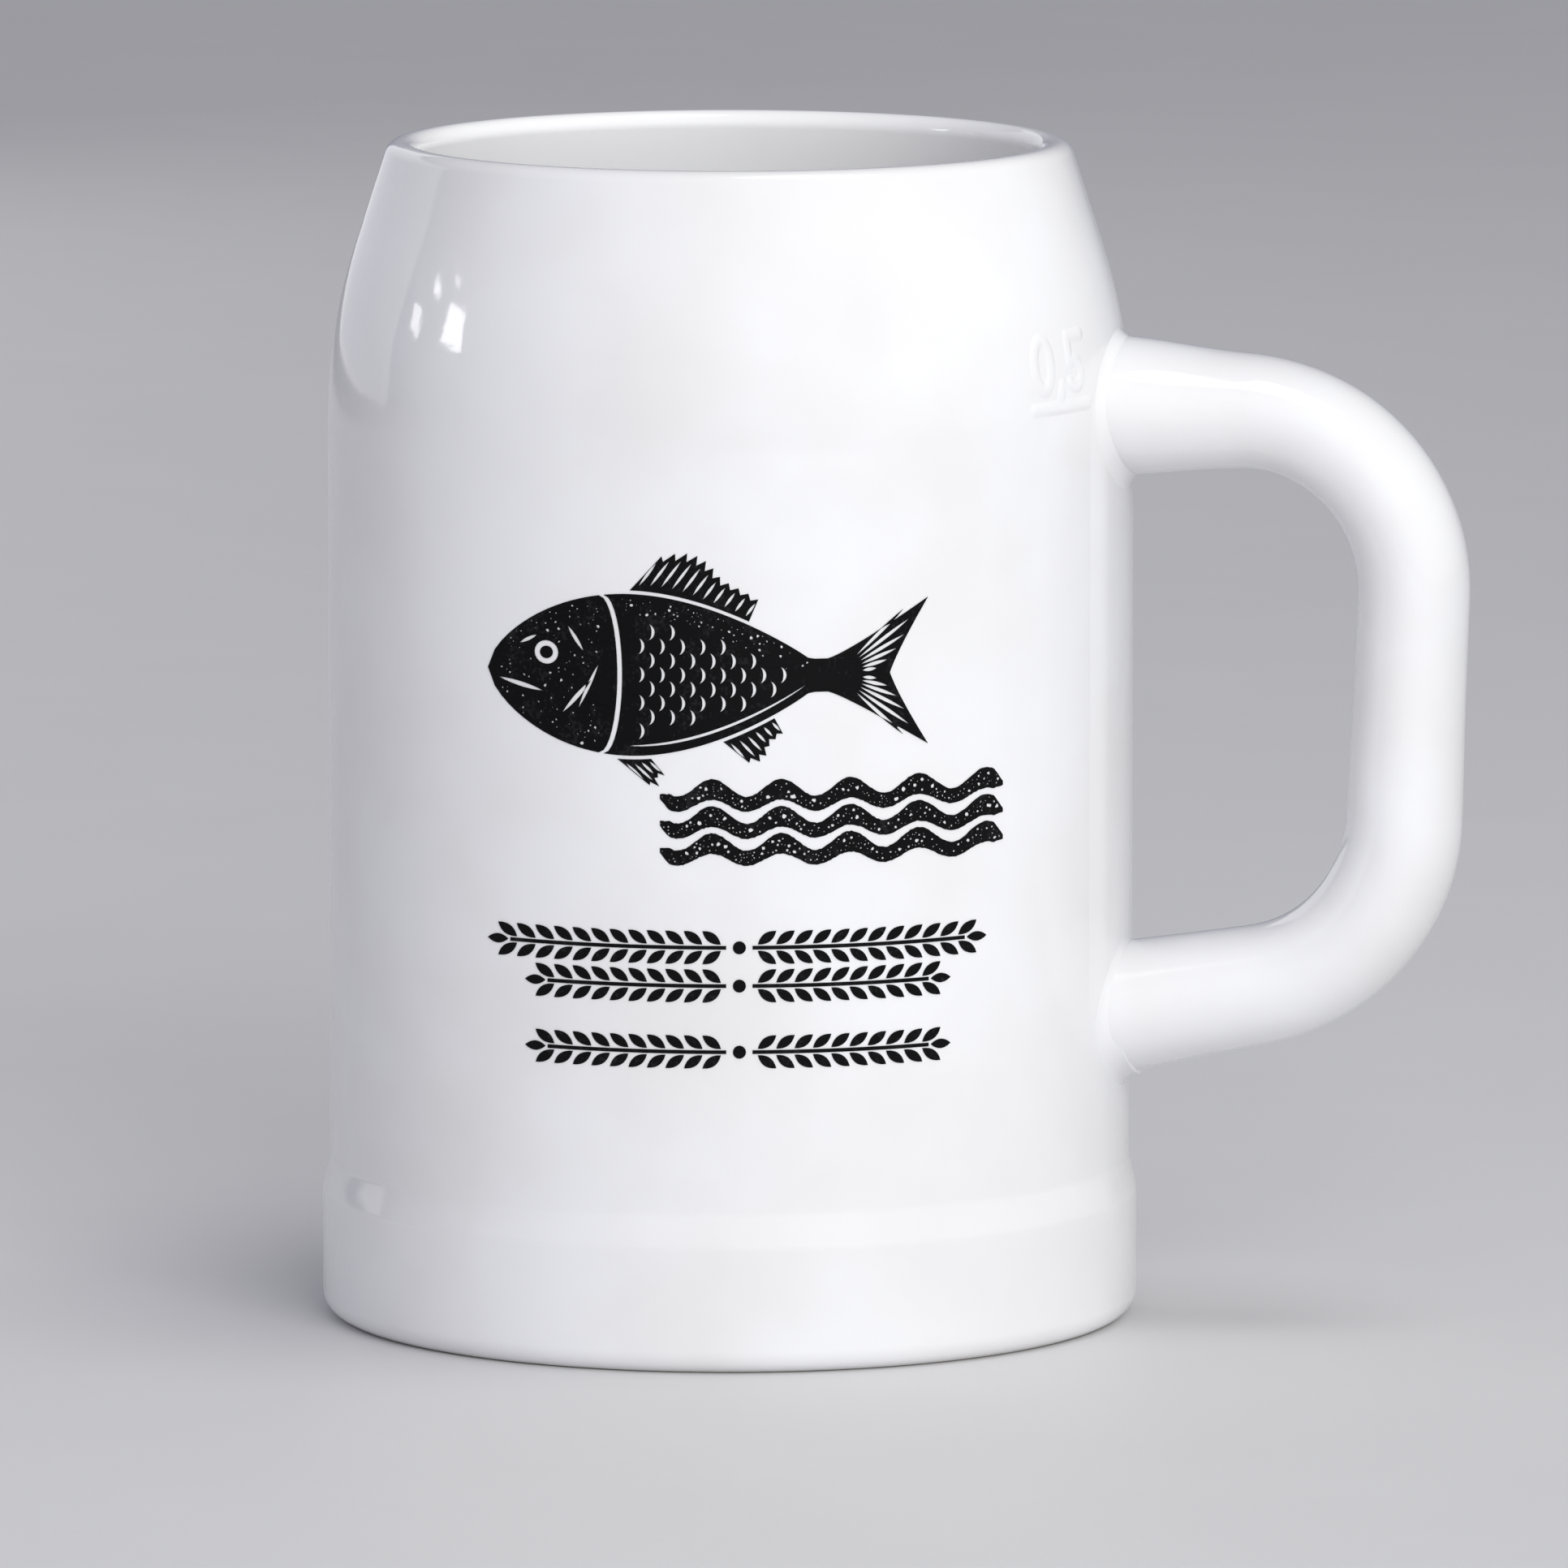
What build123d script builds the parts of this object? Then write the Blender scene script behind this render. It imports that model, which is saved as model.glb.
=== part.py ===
from build123d import *
import math
import os

# A half-litre ceramic beer stein with no lid.
# Millimetres, +Z up. The origin is the centre of the foot, on the plane the stein stands on.
# The handle points along +X, and the printed side faces -Y.

# ---- Vessel ----------------------------------------------------------------------------------
STEIN_HEIGHT = 137.0
WALL_RADIUS = 46.6
WALL_THICKNESS = 6.6
FLOOR_TOP = 8.5
SHOULDER_INSET = 7.15
SHOULDER_ANGLE = 17.9
LIP_WIDTH = 3.9
BAND_PROUD = 0.9
BAND_TOP = 14.6
STEP_HEIGHT = 3.8
FOOT_RING_WIDTH = 6.5
FOOT_RECESS = 2.2
RECESS_DRAFT = 2.5

# ---- Roundings of the vessel -------------------------------------------------------------------
SHOULDER_ROUND = 66.0
INNER_SHOULDER_ROUND = 48.0
LIP_OUTER_ROUND = 1.9
LIP_INNER_ROUND = 1.6
FOOT_OUTER_ROUND = 2.7
STEP_ROUND = 3.2
INNER_CORNER_ROUND = 9.0

# ---- Handle, and the strap that backs it on the wall ---------------------------------------------
UPPER_ARM_BELOW_RIM = 29.5
LOWER_ARM_Z = 36.2
UPPER_ARM_FALL = 1.4
LOWER_ARM_RISE = 6.5
GRIP_OUT = 34.1
GRIP_LEAN = 2.5
UPPER_BEND_RADIUS = 20.5
LOWER_BEND_RADIUS = 21.0
GRIP_THICKNESS = 12.8
GRIP_WIDTH = 19.0
ROOT_THICKNESS = 15.0
ROOT_WIDTH = 21.0
STRAP_PROUD = 0.3
STRAP_THICKNESS = 3.0
STRAP_CORNER = 11.0
STRAP_SIDE_MARGIN = 2.2
STRAP_END_MARGIN = 0.8
SEAM_ROUND = 1.3
SEAM_TIP = 0.12
SEAM_STEPS = 4

# ---- Capacity mark, in relief on the wall ---------------------------------------------------------
FILL_BELOW_RIM = 28.2
MARK_AZIMUTH = -24.8
MARK_PROUD = 0.35
DIGIT_HEIGHT = 6.8
DIGIT_WIDTH = 4.1
DIGIT_STROKE = 0.9
DIGIT_GAP = 1.0
FILL_LINE_GAP = 1.1

# ---- Printed decoration ---------------------------------------------------------------------------
INK_THICKNESS = 0.1
PRINT_AZIMUTH = -79.0
MOTIF_Z = 79.5
MOTIF_SHIFT = -3.4
FISH_LENGTH = 50.0
FISH_DEPTH = 17.0
BANNER_Z = 63.4
BANNER_SHIFT = 10.7
BANNER_LENGTH = 39.6
WAVE_COUNT = 5
WAVE_ROWS = 3
WAVE_PITCH = 3.1
WAVE_HEIGHT = 0.9
WAVE_THICKNESS = 1.7
GARLAND_HEIGHTS = (49.2, 44.8, 37.2)
GARLAND_LENGTHS = (57.0, 50.4, 47.2)
LEAF_LENGTH = 2.9
LEAF_WIDTH = 1.15
LEAF_PITCH = 2.1
LEAF_ANGLE = 36.0
STEM_WIDTH = 0.55

# ---- Derived ---------------------------------------------------------------------------------------
SLOPE = math.tan(math.radians(SHOULDER_ANGLE))
SLANT = math.cos(math.radians(SHOULDER_ANGLE))
FOOT_RADIUS = WALL_RADIUS + BAND_PROUD
STEP_TOP = BAND_TOP + STEP_HEIGHT
LIP_RADIUS = WALL_RADIUS - SHOULDER_INSET
MOUTH_RADIUS = LIP_RADIUS - LIP_WIDTH
INNER_RADIUS = WALL_RADIUS - WALL_THICKNESS
STRAP_FACE = WALL_RADIUS + STRAP_PROUD
STRAP_BACK = STRAP_PROUD - STRAP_THICKNESS
STRAP_WIDTH = ROOT_WIDTH + 2 * (SEAM_ROUND + STRAP_SIDE_MARGIN)
UPPER_ARM_Z = STEIN_HEIGHT - UPPER_ARM_BELOW_RIM
STRAP_TOP = UPPER_ARM_Z + ROOT_THICKNESS / 2 + STRAP_END_MARGIN
STRAP_BOTTOM = LOWER_ARM_Z - ROOT_THICKNESS / 2 - STRAP_END_MARGIN
FILL_Z = STEIN_HEIGHT - FILL_BELOW_RIM


def rounded(face, corners):
    """The flat face with each (point, radius) corner rounded."""
    for (across, up), radius in corners:
        here = Vector(across, up)
        vertex = min(face.vertices(), key=lambda v: (Vector(v.X, v.Y) - here).length)
        face = fillet(vertex, radius)
    return face


def turned(face):
    """The solid that a flat (radius, height) face sweeps round the stein's axis."""
    return revolve(Plane.XZ * face, axis=Axis.Z)


def shoulder_z(offset):
    """Height where the wall line meets the shoulder line, both moved outwards by offset."""
    lip = LIP_RADIUS + offset / SLANT
    return STEIN_HEIGHT - (WALL_RADIUS + offset - lip) / SLOPE


def envelope(offset):
    """The solid inside the stein's outer surface, above the foot band, grown by offset."""
    radius = WALL_RADIUS + offset
    shoulder = (radius, shoulder_z(offset))
    lip = (LIP_RADIUS + offset / SLANT, STEIN_HEIGHT)
    outline = Polyline((0, BAND_TOP), (radius, BAND_TOP), shoulder, lip, (0, STEIN_HEIGHT), close=True)
    return turned(rounded(make_face(outline), [(shoulder, SHOULDER_ROUND + offset)]))


def on_wall(azimuth, flat, thickness):
    """Flat shapes drawn in (sideways, height), laid on the outer wall as a skin of that thickness."""
    angle = math.radians(azimuth)
    sideways = (-math.sin(angle), math.cos(angle), 0)
    outwards = (math.cos(angle), math.sin(angle), 0)
    drawing = Plane(origin=(0, 0, 0), x_dir=sideways, z_dir=outwards)
    prism = extrude(drawing * flat, amount=2 * WALL_RADIUS)
    return (prism & envelope(thickness)) - envelope(0)


def lens(length, width):
    """A pointed leaf shape along +X from the origin, made of two arcs."""
    upper = ThreePointArc((0, 0), (length / 2, width / 2), (length, 0))
    lower = ThreePointArc((length, 0), (length / 2, -width / 2), (0, 0))
    return make_face([upper, lower])


# ---- Vessel -----------------------------------------------------------------------------------------
def turned_vessel():
    """The turned vessel: foot ring, foot band, wall, shoulder, lip, cavity and floor."""
    ring_inner = FOOT_RADIUS - FOOT_RING_WIDTH
    foot_edge = (FOOT_RADIUS, 0)
    band_edge = (FOOT_RADIUS, BAND_TOP)
    step_edge = (WALL_RADIUS, STEP_TOP)
    shoulder = (WALL_RADIUS, shoulder_z(0))
    lip_outer = (LIP_RADIUS, STEIN_HEIGHT)
    lip_inner = (MOUTH_RADIUS, STEIN_HEIGHT)
    inner_shoulder = (INNER_RADIUS, STEIN_HEIGHT - (INNER_RADIUS - MOUTH_RADIUS) / SLOPE)
    floor_edge = (INNER_RADIUS, FLOOR_TOP)
    outline = Polyline(
        (0, FOOT_RECESS),
        (ring_inner - RECESS_DRAFT, FOOT_RECESS),
        (ring_inner, 0),
        foot_edge,
        band_edge,
        step_edge,
        shoulder,
        lip_outer,
        lip_inner,
        inner_shoulder,
        floor_edge,
        (0, FLOOR_TOP),
        close=True,
    )
    corners = [
        (foot_edge, FOOT_OUTER_ROUND),
        (band_edge, STEP_ROUND),
        (step_edge, STEP_ROUND),
        (shoulder, SHOULDER_ROUND),
        (lip_outer, LIP_OUTER_ROUND),
        (lip_inner, LIP_INNER_ROUND),
        (inner_shoulder, INNER_SHOULDER_ROUND),
        (floor_edge, INNER_CORNER_ROUND),
    ]
    return turned(rounded(make_face(outline), corners))


def capacity_mark():
    """The digits 0,5 over the fill line, as a raised skin on the wall."""
    half = DIGIT_WIDTH / 2
    bowl = DIGIT_HEIGHT * 0.3
    pitch = DIGIT_WIDTH + 2 * DIGIT_GAP + DIGIT_STROKE
    zero = Ellipse(half, DIGIT_HEIGHT / 2) - Ellipse(half - DIGIT_STROKE, DIGIT_HEIGHT / 2 - DIGIT_STROKE)
    comma = Pos(pitch / 2, -DIGIT_HEIGHT / 2) * Rectangle(DIGIT_STROKE, 2 * DIGIT_STROKE)
    ring = Circle(bowl) - Circle(bowl - DIGIT_STROKE)
    opening = Pos(-bowl, bowl / 2) * Rectangle(2 * bowl, bowl)
    loop = Pos(0, bowl - DIGIT_HEIGHT / 2) * (ring - opening)
    stem_height = DIGIT_HEIGHT - 2 * bowl + DIGIT_STROKE
    stem = Pos(DIGIT_STROKE / 2 - half, (DIGIT_HEIGHT - stem_height) / 2) * Rectangle(DIGIT_STROKE, stem_height)
    bar = Pos(0, (DIGIT_HEIGHT - DIGIT_STROKE) / 2) * Rectangle(DIGIT_WIDTH, DIGIT_STROKE)
    joint = Pos(-half / 2, bowl * 2 - DIGIT_HEIGHT / 2 - DIGIT_STROKE / 2) * Rectangle(half, DIGIT_STROKE)
    five = Pos(pitch, 0) * (loop + stem + bar + joint)
    digits_z = FILL_Z + FILL_LINE_GAP + DIGIT_STROKE + DIGIT_HEIGHT / 2
    digits = Pos(-pitch / 2, digits_z) * (zero + comma + five)
    fill_line = Pos(0, FILL_Z) * Rectangle(pitch + DIGIT_WIDTH, DIGIT_STROKE)
    return on_wall(MARK_AZIMUTH, digits + fill_line, MARK_PROUD)


# ---- Handle ------------------------------------------------------------------------------------------
def handle_line():
    """The handle's centre line in the XZ plane: upper arm, bend, grip, bend, lower arm."""
    inside_wall = STRAP_FACE - STRAP_THICKNESS
    upper_bend = (STRAP_FACE + GRIP_OUT, 0, UPPER_ARM_Z - UPPER_ARM_FALL)
    lower_bend = (STRAP_FACE + GRIP_OUT - GRIP_LEAN, 0, LOWER_ARM_Z + LOWER_ARM_RISE)
    return FilletPolyline(
        (inside_wall, 0, UPPER_ARM_Z),
        upper_bend,
        lower_bend,
        (inside_wall, 0, LOWER_ARM_Z),
        radius=[UPPER_BEND_RADIUS, LOWER_BEND_RADIUS],
    )


def handle_section(line, share, thickness, width):
    """An oval section of the handle, square to its centre line at that share of its length."""
    square = Plane(origin=line @ share, x_dir=(0, 1, 0), z_dir=line % share)
    return square * Ellipse(width / 2, thickness / 2)


def bent_handle():
    """The handle: an oval bar that thickens towards its two roots and ends on the strap."""
    line = handle_line()
    mid_thickness = (ROOT_THICKNESS + GRIP_THICKNESS) / 2
    mid_width = (ROOT_WIDTH + GRIP_WIDTH) / 2
    sections = [
        handle_section(line, 0, ROOT_THICKNESS, ROOT_WIDTH),
        handle_section(line, 0.1, mid_thickness, mid_width),
        handle_section(line, 0.25, GRIP_THICKNESS, GRIP_WIDTH),
        handle_section(line, 0.5, GRIP_THICKNESS, GRIP_WIDTH),
        handle_section(line, 0.75, GRIP_THICKNESS, GRIP_WIDTH),
        handle_section(line, 0.9, mid_thickness, mid_width),
        handle_section(line, 1, ROOT_THICKNESS, ROOT_WIDTH),
    ]
    return sweep(sections, path=line, multisection=True) - envelope(STRAP_PROUD)


def backing_strap():
    """The strap that both arms of the handle spring from, bedded in the wall and a little proud of it."""
    length = STRAP_TOP - STRAP_BOTTOM
    drawing = Plane(origin=(0, 0, (STRAP_TOP + STRAP_BOTTOM) / 2), x_dir=(0, 1, 0), z_dir=(1, 0, 0))
    outline = extrude(drawing * RectangleRounded(STRAP_WIDTH, length, STRAP_CORNER), amount=2 * WALL_RADIUS)
    return (outline & envelope(STRAP_PROUD)) - envelope(STRAP_BACK)


def slip_seam(height, bar, strap):
    """The hollow fillet of slip round one root of the handle, down to the strap and the wall."""
    steps = [-STRAP_THICKNESS] + [SEAM_ROUND * step / SEAM_STEPS for step in range(SEAM_STEPS + 1)]
    rings = []
    for out in steps:
        climb = min(1, max(0, out / SEAM_ROUND))
        spread = SEAM_TIP + SEAM_ROUND * (1 - math.sqrt(1 - (1 - climb) ** 2))
        face = Plane(origin=(STRAP_FACE + out, 0, height), x_dir=(0, 1, 0), z_dir=(1, 0, 0))
        rings.append(face * Ellipse(ROOT_WIDTH / 2 + spread, ROOT_THICKNESS / 2 + spread))
    return loft(rings, ruled=True) - bar - strap - envelope(0)


# ---- Printed decoration ---------------------------------------------------------------------------------
def fish():
    """A plain side view of a fish, head to the left: lens-shaped body, forked tail and two fins."""
    nose = -FISH_LENGTH / 2
    body_length = FISH_LENGTH * 0.78
    tail_root = nose + body_length * 0.93
    tail_tip = FISH_LENGTH / 2
    spread = FISH_DEPTH * 0.56
    body = Pos(nose, 0) * lens(body_length, FISH_DEPTH)
    tail = make_face(
        [
            ThreePointArc((tail_root, 0), (tail_root + 6.0, spread * 0.36), (tail_tip, spread)),
            ThreePointArc((tail_tip, spread), (tail_tip - 3.6, 0), (tail_tip, -spread)),
            ThreePointArc((tail_tip, -spread), (tail_root + 6.0, -spread * 0.36), (tail_root, 0)),
        ]
    )
    back_fin = Pos(nose + body_length * 0.42, FISH_DEPTH * 0.36) * Rot(0, 0, 24) * lens(12.0, 5.6)
    belly_fin = Pos(nose + body_length * 0.44, -FISH_DEPTH * 0.36) * Rot(0, 0, -30) * lens(9.5, 4.4)
    eye = Pos(nose + body_length * 0.15, FISH_DEPTH * 0.1) * Circle(0.8)
    return body + tail + back_fin + belly_fin - eye


def wave_band():
    """Rows of one unbroken wavy stripe each, one above the other."""
    step = BANNER_LENGTH / (4 * WAVE_COUNT)
    start = -BANNER_LENGTH / 2
    crests = [
        (start + count * step, WAVE_HEIGHT * math.sin(count * math.pi / 2)) for count in range(4 * WAVE_COUNT + 1)
    ]
    upper = Spline(*[(across, up + WAVE_THICKNESS / 2) for across, up in crests])
    lower = Spline(*[(across, up - WAVE_THICKNESS / 2) for across, up in crests])
    ends = [Line(upper @ 0, lower @ 0), Line(upper @ 1, lower @ 1)]
    stripe = make_face([upper, lower, *ends])
    rows = [Pos(0, (row - (WAVE_ROWS - 1) / 2) * WAVE_PITCH) * stripe for row in range(WAVE_ROWS)]
    return Sketch() + rows


def garland(length):
    """A straight stem with a leaf to each side at every pitch, the two halves pointing outwards."""
    pairs = int((length / 2 - LEAF_LENGTH) / LEAF_PITCH)
    leaf = lens(LEAF_LENGTH, LEAF_WIDTH)
    stem = Rectangle(2 * pairs * LEAF_PITCH, STEM_WIDTH)
    leaves = [
        Pos(side * pair * LEAF_PITCH, 0) * Rot(0, 0, 90 - side * 90 + tilt * LEAF_ANGLE) * leaf
        for side in (-1, 1)
        for pair in range(1, pairs + 1)
        for tilt in (-1, 1)
    ]
    return stem + leaves


# ---- Build ------------------------------------------------------------------------------------------------
handle = bent_handle()
strap = backing_strap()
seam_upper = slip_seam(UPPER_ARM_Z, handle, strap)
seam_lower = slip_seam(LOWER_ARM_Z, handle, strap)
garlands = [Pos(0, up) * garland(length) for up, length in zip(GARLAND_HEIGHTS, GARLAND_LENGTHS)]

nodes = {
    "body": turned_vessel() + capacity_mark() - strap,
    "handle_strap": strap,
    "handle": handle,
    "slip_seam_upper": seam_upper,
    "slip_seam_lower": seam_lower,
    "print_motif": on_wall(PRINT_AZIMUTH, Pos(MOTIF_SHIFT, MOTIF_Z) * fish(), INK_THICKNESS),
    "print_banner": on_wall(PRINT_AZIMUTH, Pos(BANNER_SHIFT, BANNER_Z) * wave_band(), INK_THICKNESS),
    "print_garlands": on_wall(PRINT_AZIMUTH, Sketch() + garlands, INK_THICKNESS),
}

os.makedirs("parts", exist_ok=True)
for name, shape in nodes.items():
    export_step(shape, f"parts/{name}.step")
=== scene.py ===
"""Studio scene of a lidless half-litre ceramic beer stein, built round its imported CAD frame.

Units are metres, +Z is up, the handle points along +X and the printed side faces -Y.
"""

import logging
import math
import random
from collections.abc import Callable, Sequence
from dataclasses import dataclass, field
from enum import Enum
from functools import partial

import bpy
import numpy as np
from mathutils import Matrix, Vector

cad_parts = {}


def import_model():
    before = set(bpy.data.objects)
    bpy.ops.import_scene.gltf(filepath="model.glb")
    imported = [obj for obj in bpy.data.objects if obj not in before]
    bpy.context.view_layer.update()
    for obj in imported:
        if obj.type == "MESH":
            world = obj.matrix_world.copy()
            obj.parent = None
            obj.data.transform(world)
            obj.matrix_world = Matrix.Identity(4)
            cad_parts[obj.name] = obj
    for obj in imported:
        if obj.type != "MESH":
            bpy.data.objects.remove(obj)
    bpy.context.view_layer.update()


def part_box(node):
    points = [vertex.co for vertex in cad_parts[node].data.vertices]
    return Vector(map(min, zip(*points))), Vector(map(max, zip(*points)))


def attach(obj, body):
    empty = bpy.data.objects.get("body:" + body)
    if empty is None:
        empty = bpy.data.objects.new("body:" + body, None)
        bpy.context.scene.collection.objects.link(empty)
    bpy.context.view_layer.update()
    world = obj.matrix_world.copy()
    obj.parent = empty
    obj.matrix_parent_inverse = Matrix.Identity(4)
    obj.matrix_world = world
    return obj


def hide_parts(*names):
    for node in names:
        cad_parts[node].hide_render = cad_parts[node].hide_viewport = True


LOG = logging.getLogger("stein")
MM = 0.001
TURN = 2 * math.pi
BODY = "root"
FILL_BELOW_RIM = 28.2 * MM
PRINT_AZIMUTH = -79.0

Point = tuple[float, float]
Loop = list[Point]
Colour = tuple[float, float, float]
Curve = tuple[Point, ...]
Ring = tuple[float, float, float]


class Slot(Enum):
    """The record's material slots."""

    GLAZE = "glazed_ceramic"
    INK = "black_decal_ink"


# ---- Bench tools -----------------------------------------------------------------------------


def clear_selection() -> None:
    """Leaves object mode with nothing selected."""
    if bpy.context.object and bpy.context.object.mode != "OBJECT":
        bpy.ops.object.mode_set(mode="OBJECT")
    bpy.ops.object.select_all(action="DESELECT")


def pick(piece: bpy.types.Object) -> None:
    """Makes one object the only selected and active one.

    Args:
        piece: The object to select.
    """
    clear_selection()
    piece.select_set(True)
    bpy.context.view_layer.objects.active = piece


def start_editing() -> None:
    """Opens the active object in edit mode with nothing selected, working on vertices."""
    bpy.ops.object.mode_set(mode="EDIT")
    bpy.ops.mesh.select_mode(type="VERT")
    bpy.ops.mesh.select_all(action="DESELECT")


def select_where(piece: bpy.types.Object, test: Callable[[Vector], bool]) -> int:
    """Selects the vertices that pass a test, from edit mode, and stays in edit mode.

    Args:
        piece: The object being edited.
        test: Says whether a vertex at that place is wanted.

    Returns:
        The number of vertices selected.
    """
    bpy.ops.mesh.select_all(action="DESELECT")
    bpy.ops.object.mode_set(mode="OBJECT")
    count = 0
    for vertex in piece.data.vertices:
        vertex.select = test(vertex.co)
        count += vertex.select
    bpy.ops.object.mode_set(mode="EDIT")
    return count


def add_modifier(piece: bpy.types.Object, kind: str, **settings: object) -> None:
    """Adds a modifier to a piece, sets it up and applies it.

    Args:
        piece: The object to finish.
        kind: Blender's name of the modifier type.
        settings: The modifier's own settings.
    """
    pick(piece)
    modifier = piece.modifiers.new(kind.lower(), kind)
    for name, value in settings.items():
        setattr(modifier, name, value)
    bpy.ops.object.modifier_apply(modifier=modifier.name)


def tidy_mesh(piece: bpy.types.Object, merge: float = 0.002 * MM) -> None:
    """Merges doubled vertices and turns every face outwards.

    Args:
        piece: The object to clean.
        merge: The distance within which vertices are merged.
    """
    pick(piece)
    bpy.ops.object.mode_set(mode="EDIT")
    bpy.ops.mesh.select_all(action="SELECT")
    bpy.ops.mesh.remove_doubles(threshold=merge)
    bpy.ops.mesh.normals_make_consistent(inside=False)
    bpy.ops.object.mode_set(mode="OBJECT")


def shade(piece: bpy.types.Object, angle: float = 40.0) -> None:
    """Shades a piece smooth, except over edges sharper than an angle in degrees."""
    pick(piece)
    bpy.ops.object.shade_smooth_by_angle(angle=math.radians(angle))


def settle(piece: bpy.types.Object) -> None:
    """Moves a piece's place, turn and scale into its mesh."""
    pick(piece)
    bpy.ops.object.transform_apply(location=True, rotation=True, scale=True)


def smooth_step(value: float) -> float:
    """A soft step from 0 to 1 as value goes from 0 to 1."""
    value = min(1.0, max(0.0, value))
    return value * value * (3 - 2 * value)


def rounded_outline(corners: Sequence[tuple[float, float, float]], spacing: float) -> Loop:
    """Points along an open outline whose corners are rounded.

    Args:
        corners: The outline's corners as (across, up, rounding radius).
        spacing: The longest distance between points on a straight run.

    Returns:
        The points from the first corner to the last.
    """
    places = [Vector((across, up)) for across, up, _ in corners]
    path: list[Vector] = [places[0]]
    for index in range(1, len(places) - 1):
        here, radius = places[index], corners[index][2]
        back = (places[index - 1] - here).normalized()
        ahead = (places[index + 1] - here).normalized()
        half_turn = (math.pi - back.angle(ahead)) / 2
        if radius <= 0 or half_turn < 1e-4:
            path.append(here)
            continue
        reach = radius * math.tan(half_turn)
        centre = here + (back + ahead).normalized() * (radius / math.cos(half_turn))
        first, last = here + back * reach - centre, here + ahead * reach - centre
        sweep = math.atan2(first.x * last.y - first.y * last.x, first.dot(last))
        steps = max(3, math.ceil(math.degrees(abs(sweep)) / 5), math.ceil(abs(sweep) * radius / spacing))
        for step in range(steps + 1):
            angle = sweep * step / steps
            cos, sin = math.cos(angle), math.sin(angle)
            path.append(centre + Vector((first.x * cos - first.y * sin, first.x * sin + first.y * cos)))
    path.append(places[-1])
    points: Loop = [tuple(path[0])]
    for start, end in zip(path, path[1:]):
        runs = max(1, math.ceil((end - start).length / spacing))
        points += [tuple(start.lerp(end, run / runs)) for run in range(1, runs + 1)]
    return points


# ---- Finishes ---------------------------------------------------------------------------------


@dataclass(frozen=True)
class NodeBoard:
    """A material's node tree, with short ways to add and join nodes."""

    tree: bpy.types.NodeTree

    def add(self, kind: str, **settings: object) -> bpy.types.Node:
        """Adds a node and sets its properties.

        Args:
            kind: The node's type name.
            settings: Properties of the node, by name.

        Returns:
            The new node.
        """
        node = self.tree.nodes.new(kind)
        for name, value in settings.items():
            setattr(node, name, value)
        return node

    def join(self, source: bpy.types.NodeSocket, target: bpy.types.NodeSocket) -> None:
        """Links an output to an input."""
        self.tree.links.new(source, target)

    def noise(self, place: bpy.types.NodeSocket, scale: float, detail: float = 2.0) -> bpy.types.NodeSocket:
        """A soft noise over the piece.

        Args:
            place: The coordinates that the noise follows.
            scale: Features per metre.
            detail: Octaves of finer noise.

        Returns:
            The noise's value, from 0 to 1.
        """
        node = self.add("ShaderNodeTexNoise")
        node.inputs["Scale"].default_value = scale
        node.inputs["Detail"].default_value = detail
        self.join(place, node.inputs["Vector"])
        return node.outputs["Fac"]

    def ramp(
        self, value: bpy.types.NodeSocket, low: float, high: float, to: Point = (0.0, 1.0)
    ) -> bpy.types.NodeSocket:
        """A value moved smoothly from one range to another, and held at its ends.

        Args:
            value: The value to move.
            low: The value that gives the first result.
            high: The value that gives the second result.
            to: The two results.

        Returns:
            The moved value.
        """
        node = self.add("ShaderNodeMapRange", interpolation_type="SMOOTHSTEP")
        node.inputs["From Min"].default_value = low
        node.inputs["From Max"].default_value = high
        node.inputs["To Min"].default_value = to[0]
        node.inputs["To Max"].default_value = to[1]
        self.join(value, node.inputs["Value"])
        return node.outputs["Result"]

    def feed(self, socket: bpy.types.NodeSocket, value: object) -> None:
        """Gives an input its value, or the output that feeds it.

        Args:
            socket: The input.
            value: A plain value, or an output to link to it.
        """
        if isinstance(value, bpy.types.NodeSocket):
            self.join(value, socket)
        else:
            socket.default_value = value

    def math(self, operation: str, first: object, second: object) -> bpy.types.NodeSocket:
        """Works out one sum on two values or sockets.

        Args:
            operation: Blender's name of the sum.
            first: Its first value or socket.
            second: Its second value or socket.

        Returns:
            The result.
        """
        node = self.add("ShaderNodeMath", operation=operation)
        self.feed(node.inputs[0], first)
        self.feed(node.inputs[1], second)
        return node.outputs["Value"]

    def mix(self, share: bpy.types.NodeSocket, first: object, second: object) -> bpy.types.NodeSocket:
        """Blends two colours.

        Args:
            share: 0 for the first colour and 1 for the second.
            first: The first colour, or a socket that gives it.
            second: The second colour, or a socket that gives it.

        Returns:
            The blended colour.
        """
        node = self.add("ShaderNodeMix", data_type="RGBA")
        self.join(share, node.inputs["Factor"])
        for socket, colour in zip((node.inputs[6], node.inputs[7]), (first, second)):
            self.feed(socket, (*colour, 1.0) if isinstance(colour, tuple) else colour)
        return node.outputs[2]

    def bump(
        self, height: bpy.types.NodeSocket, depth: float, base: bpy.types.NodeSocket | None = None
    ) -> bpy.types.NodeSocket:
        """Gives the surface a fine relief.

        Args:
            height: The relief's height, from 0 to 1.
            depth: What a height of 1 stands for, in metres.
            base: The relief that this one lies on.

        Returns:
            The shading normal.
        """
        node = self.add("ShaderNodeBump")
        node.inputs["Strength"].default_value = 1.0
        node.inputs["Distance"].default_value = depth
        self.join(height, node.inputs["Height"])
        if base is not None:
            self.join(base, node.inputs["Normal"])
        return node.outputs["Normal"]


def new_board(name: str) -> tuple[bpy.types.Material, NodeBoard, bpy.types.Node]:
    """A new node material.

    Args:
        name: The material's name.

    Returns:
        The material, its board and its main shader node.
    """
    material = bpy.data.materials.new(name)
    material.use_nodes = True
    board = NodeBoard(material.node_tree)
    return material, board, material.node_tree.nodes["Principled BSDF"]


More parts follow.
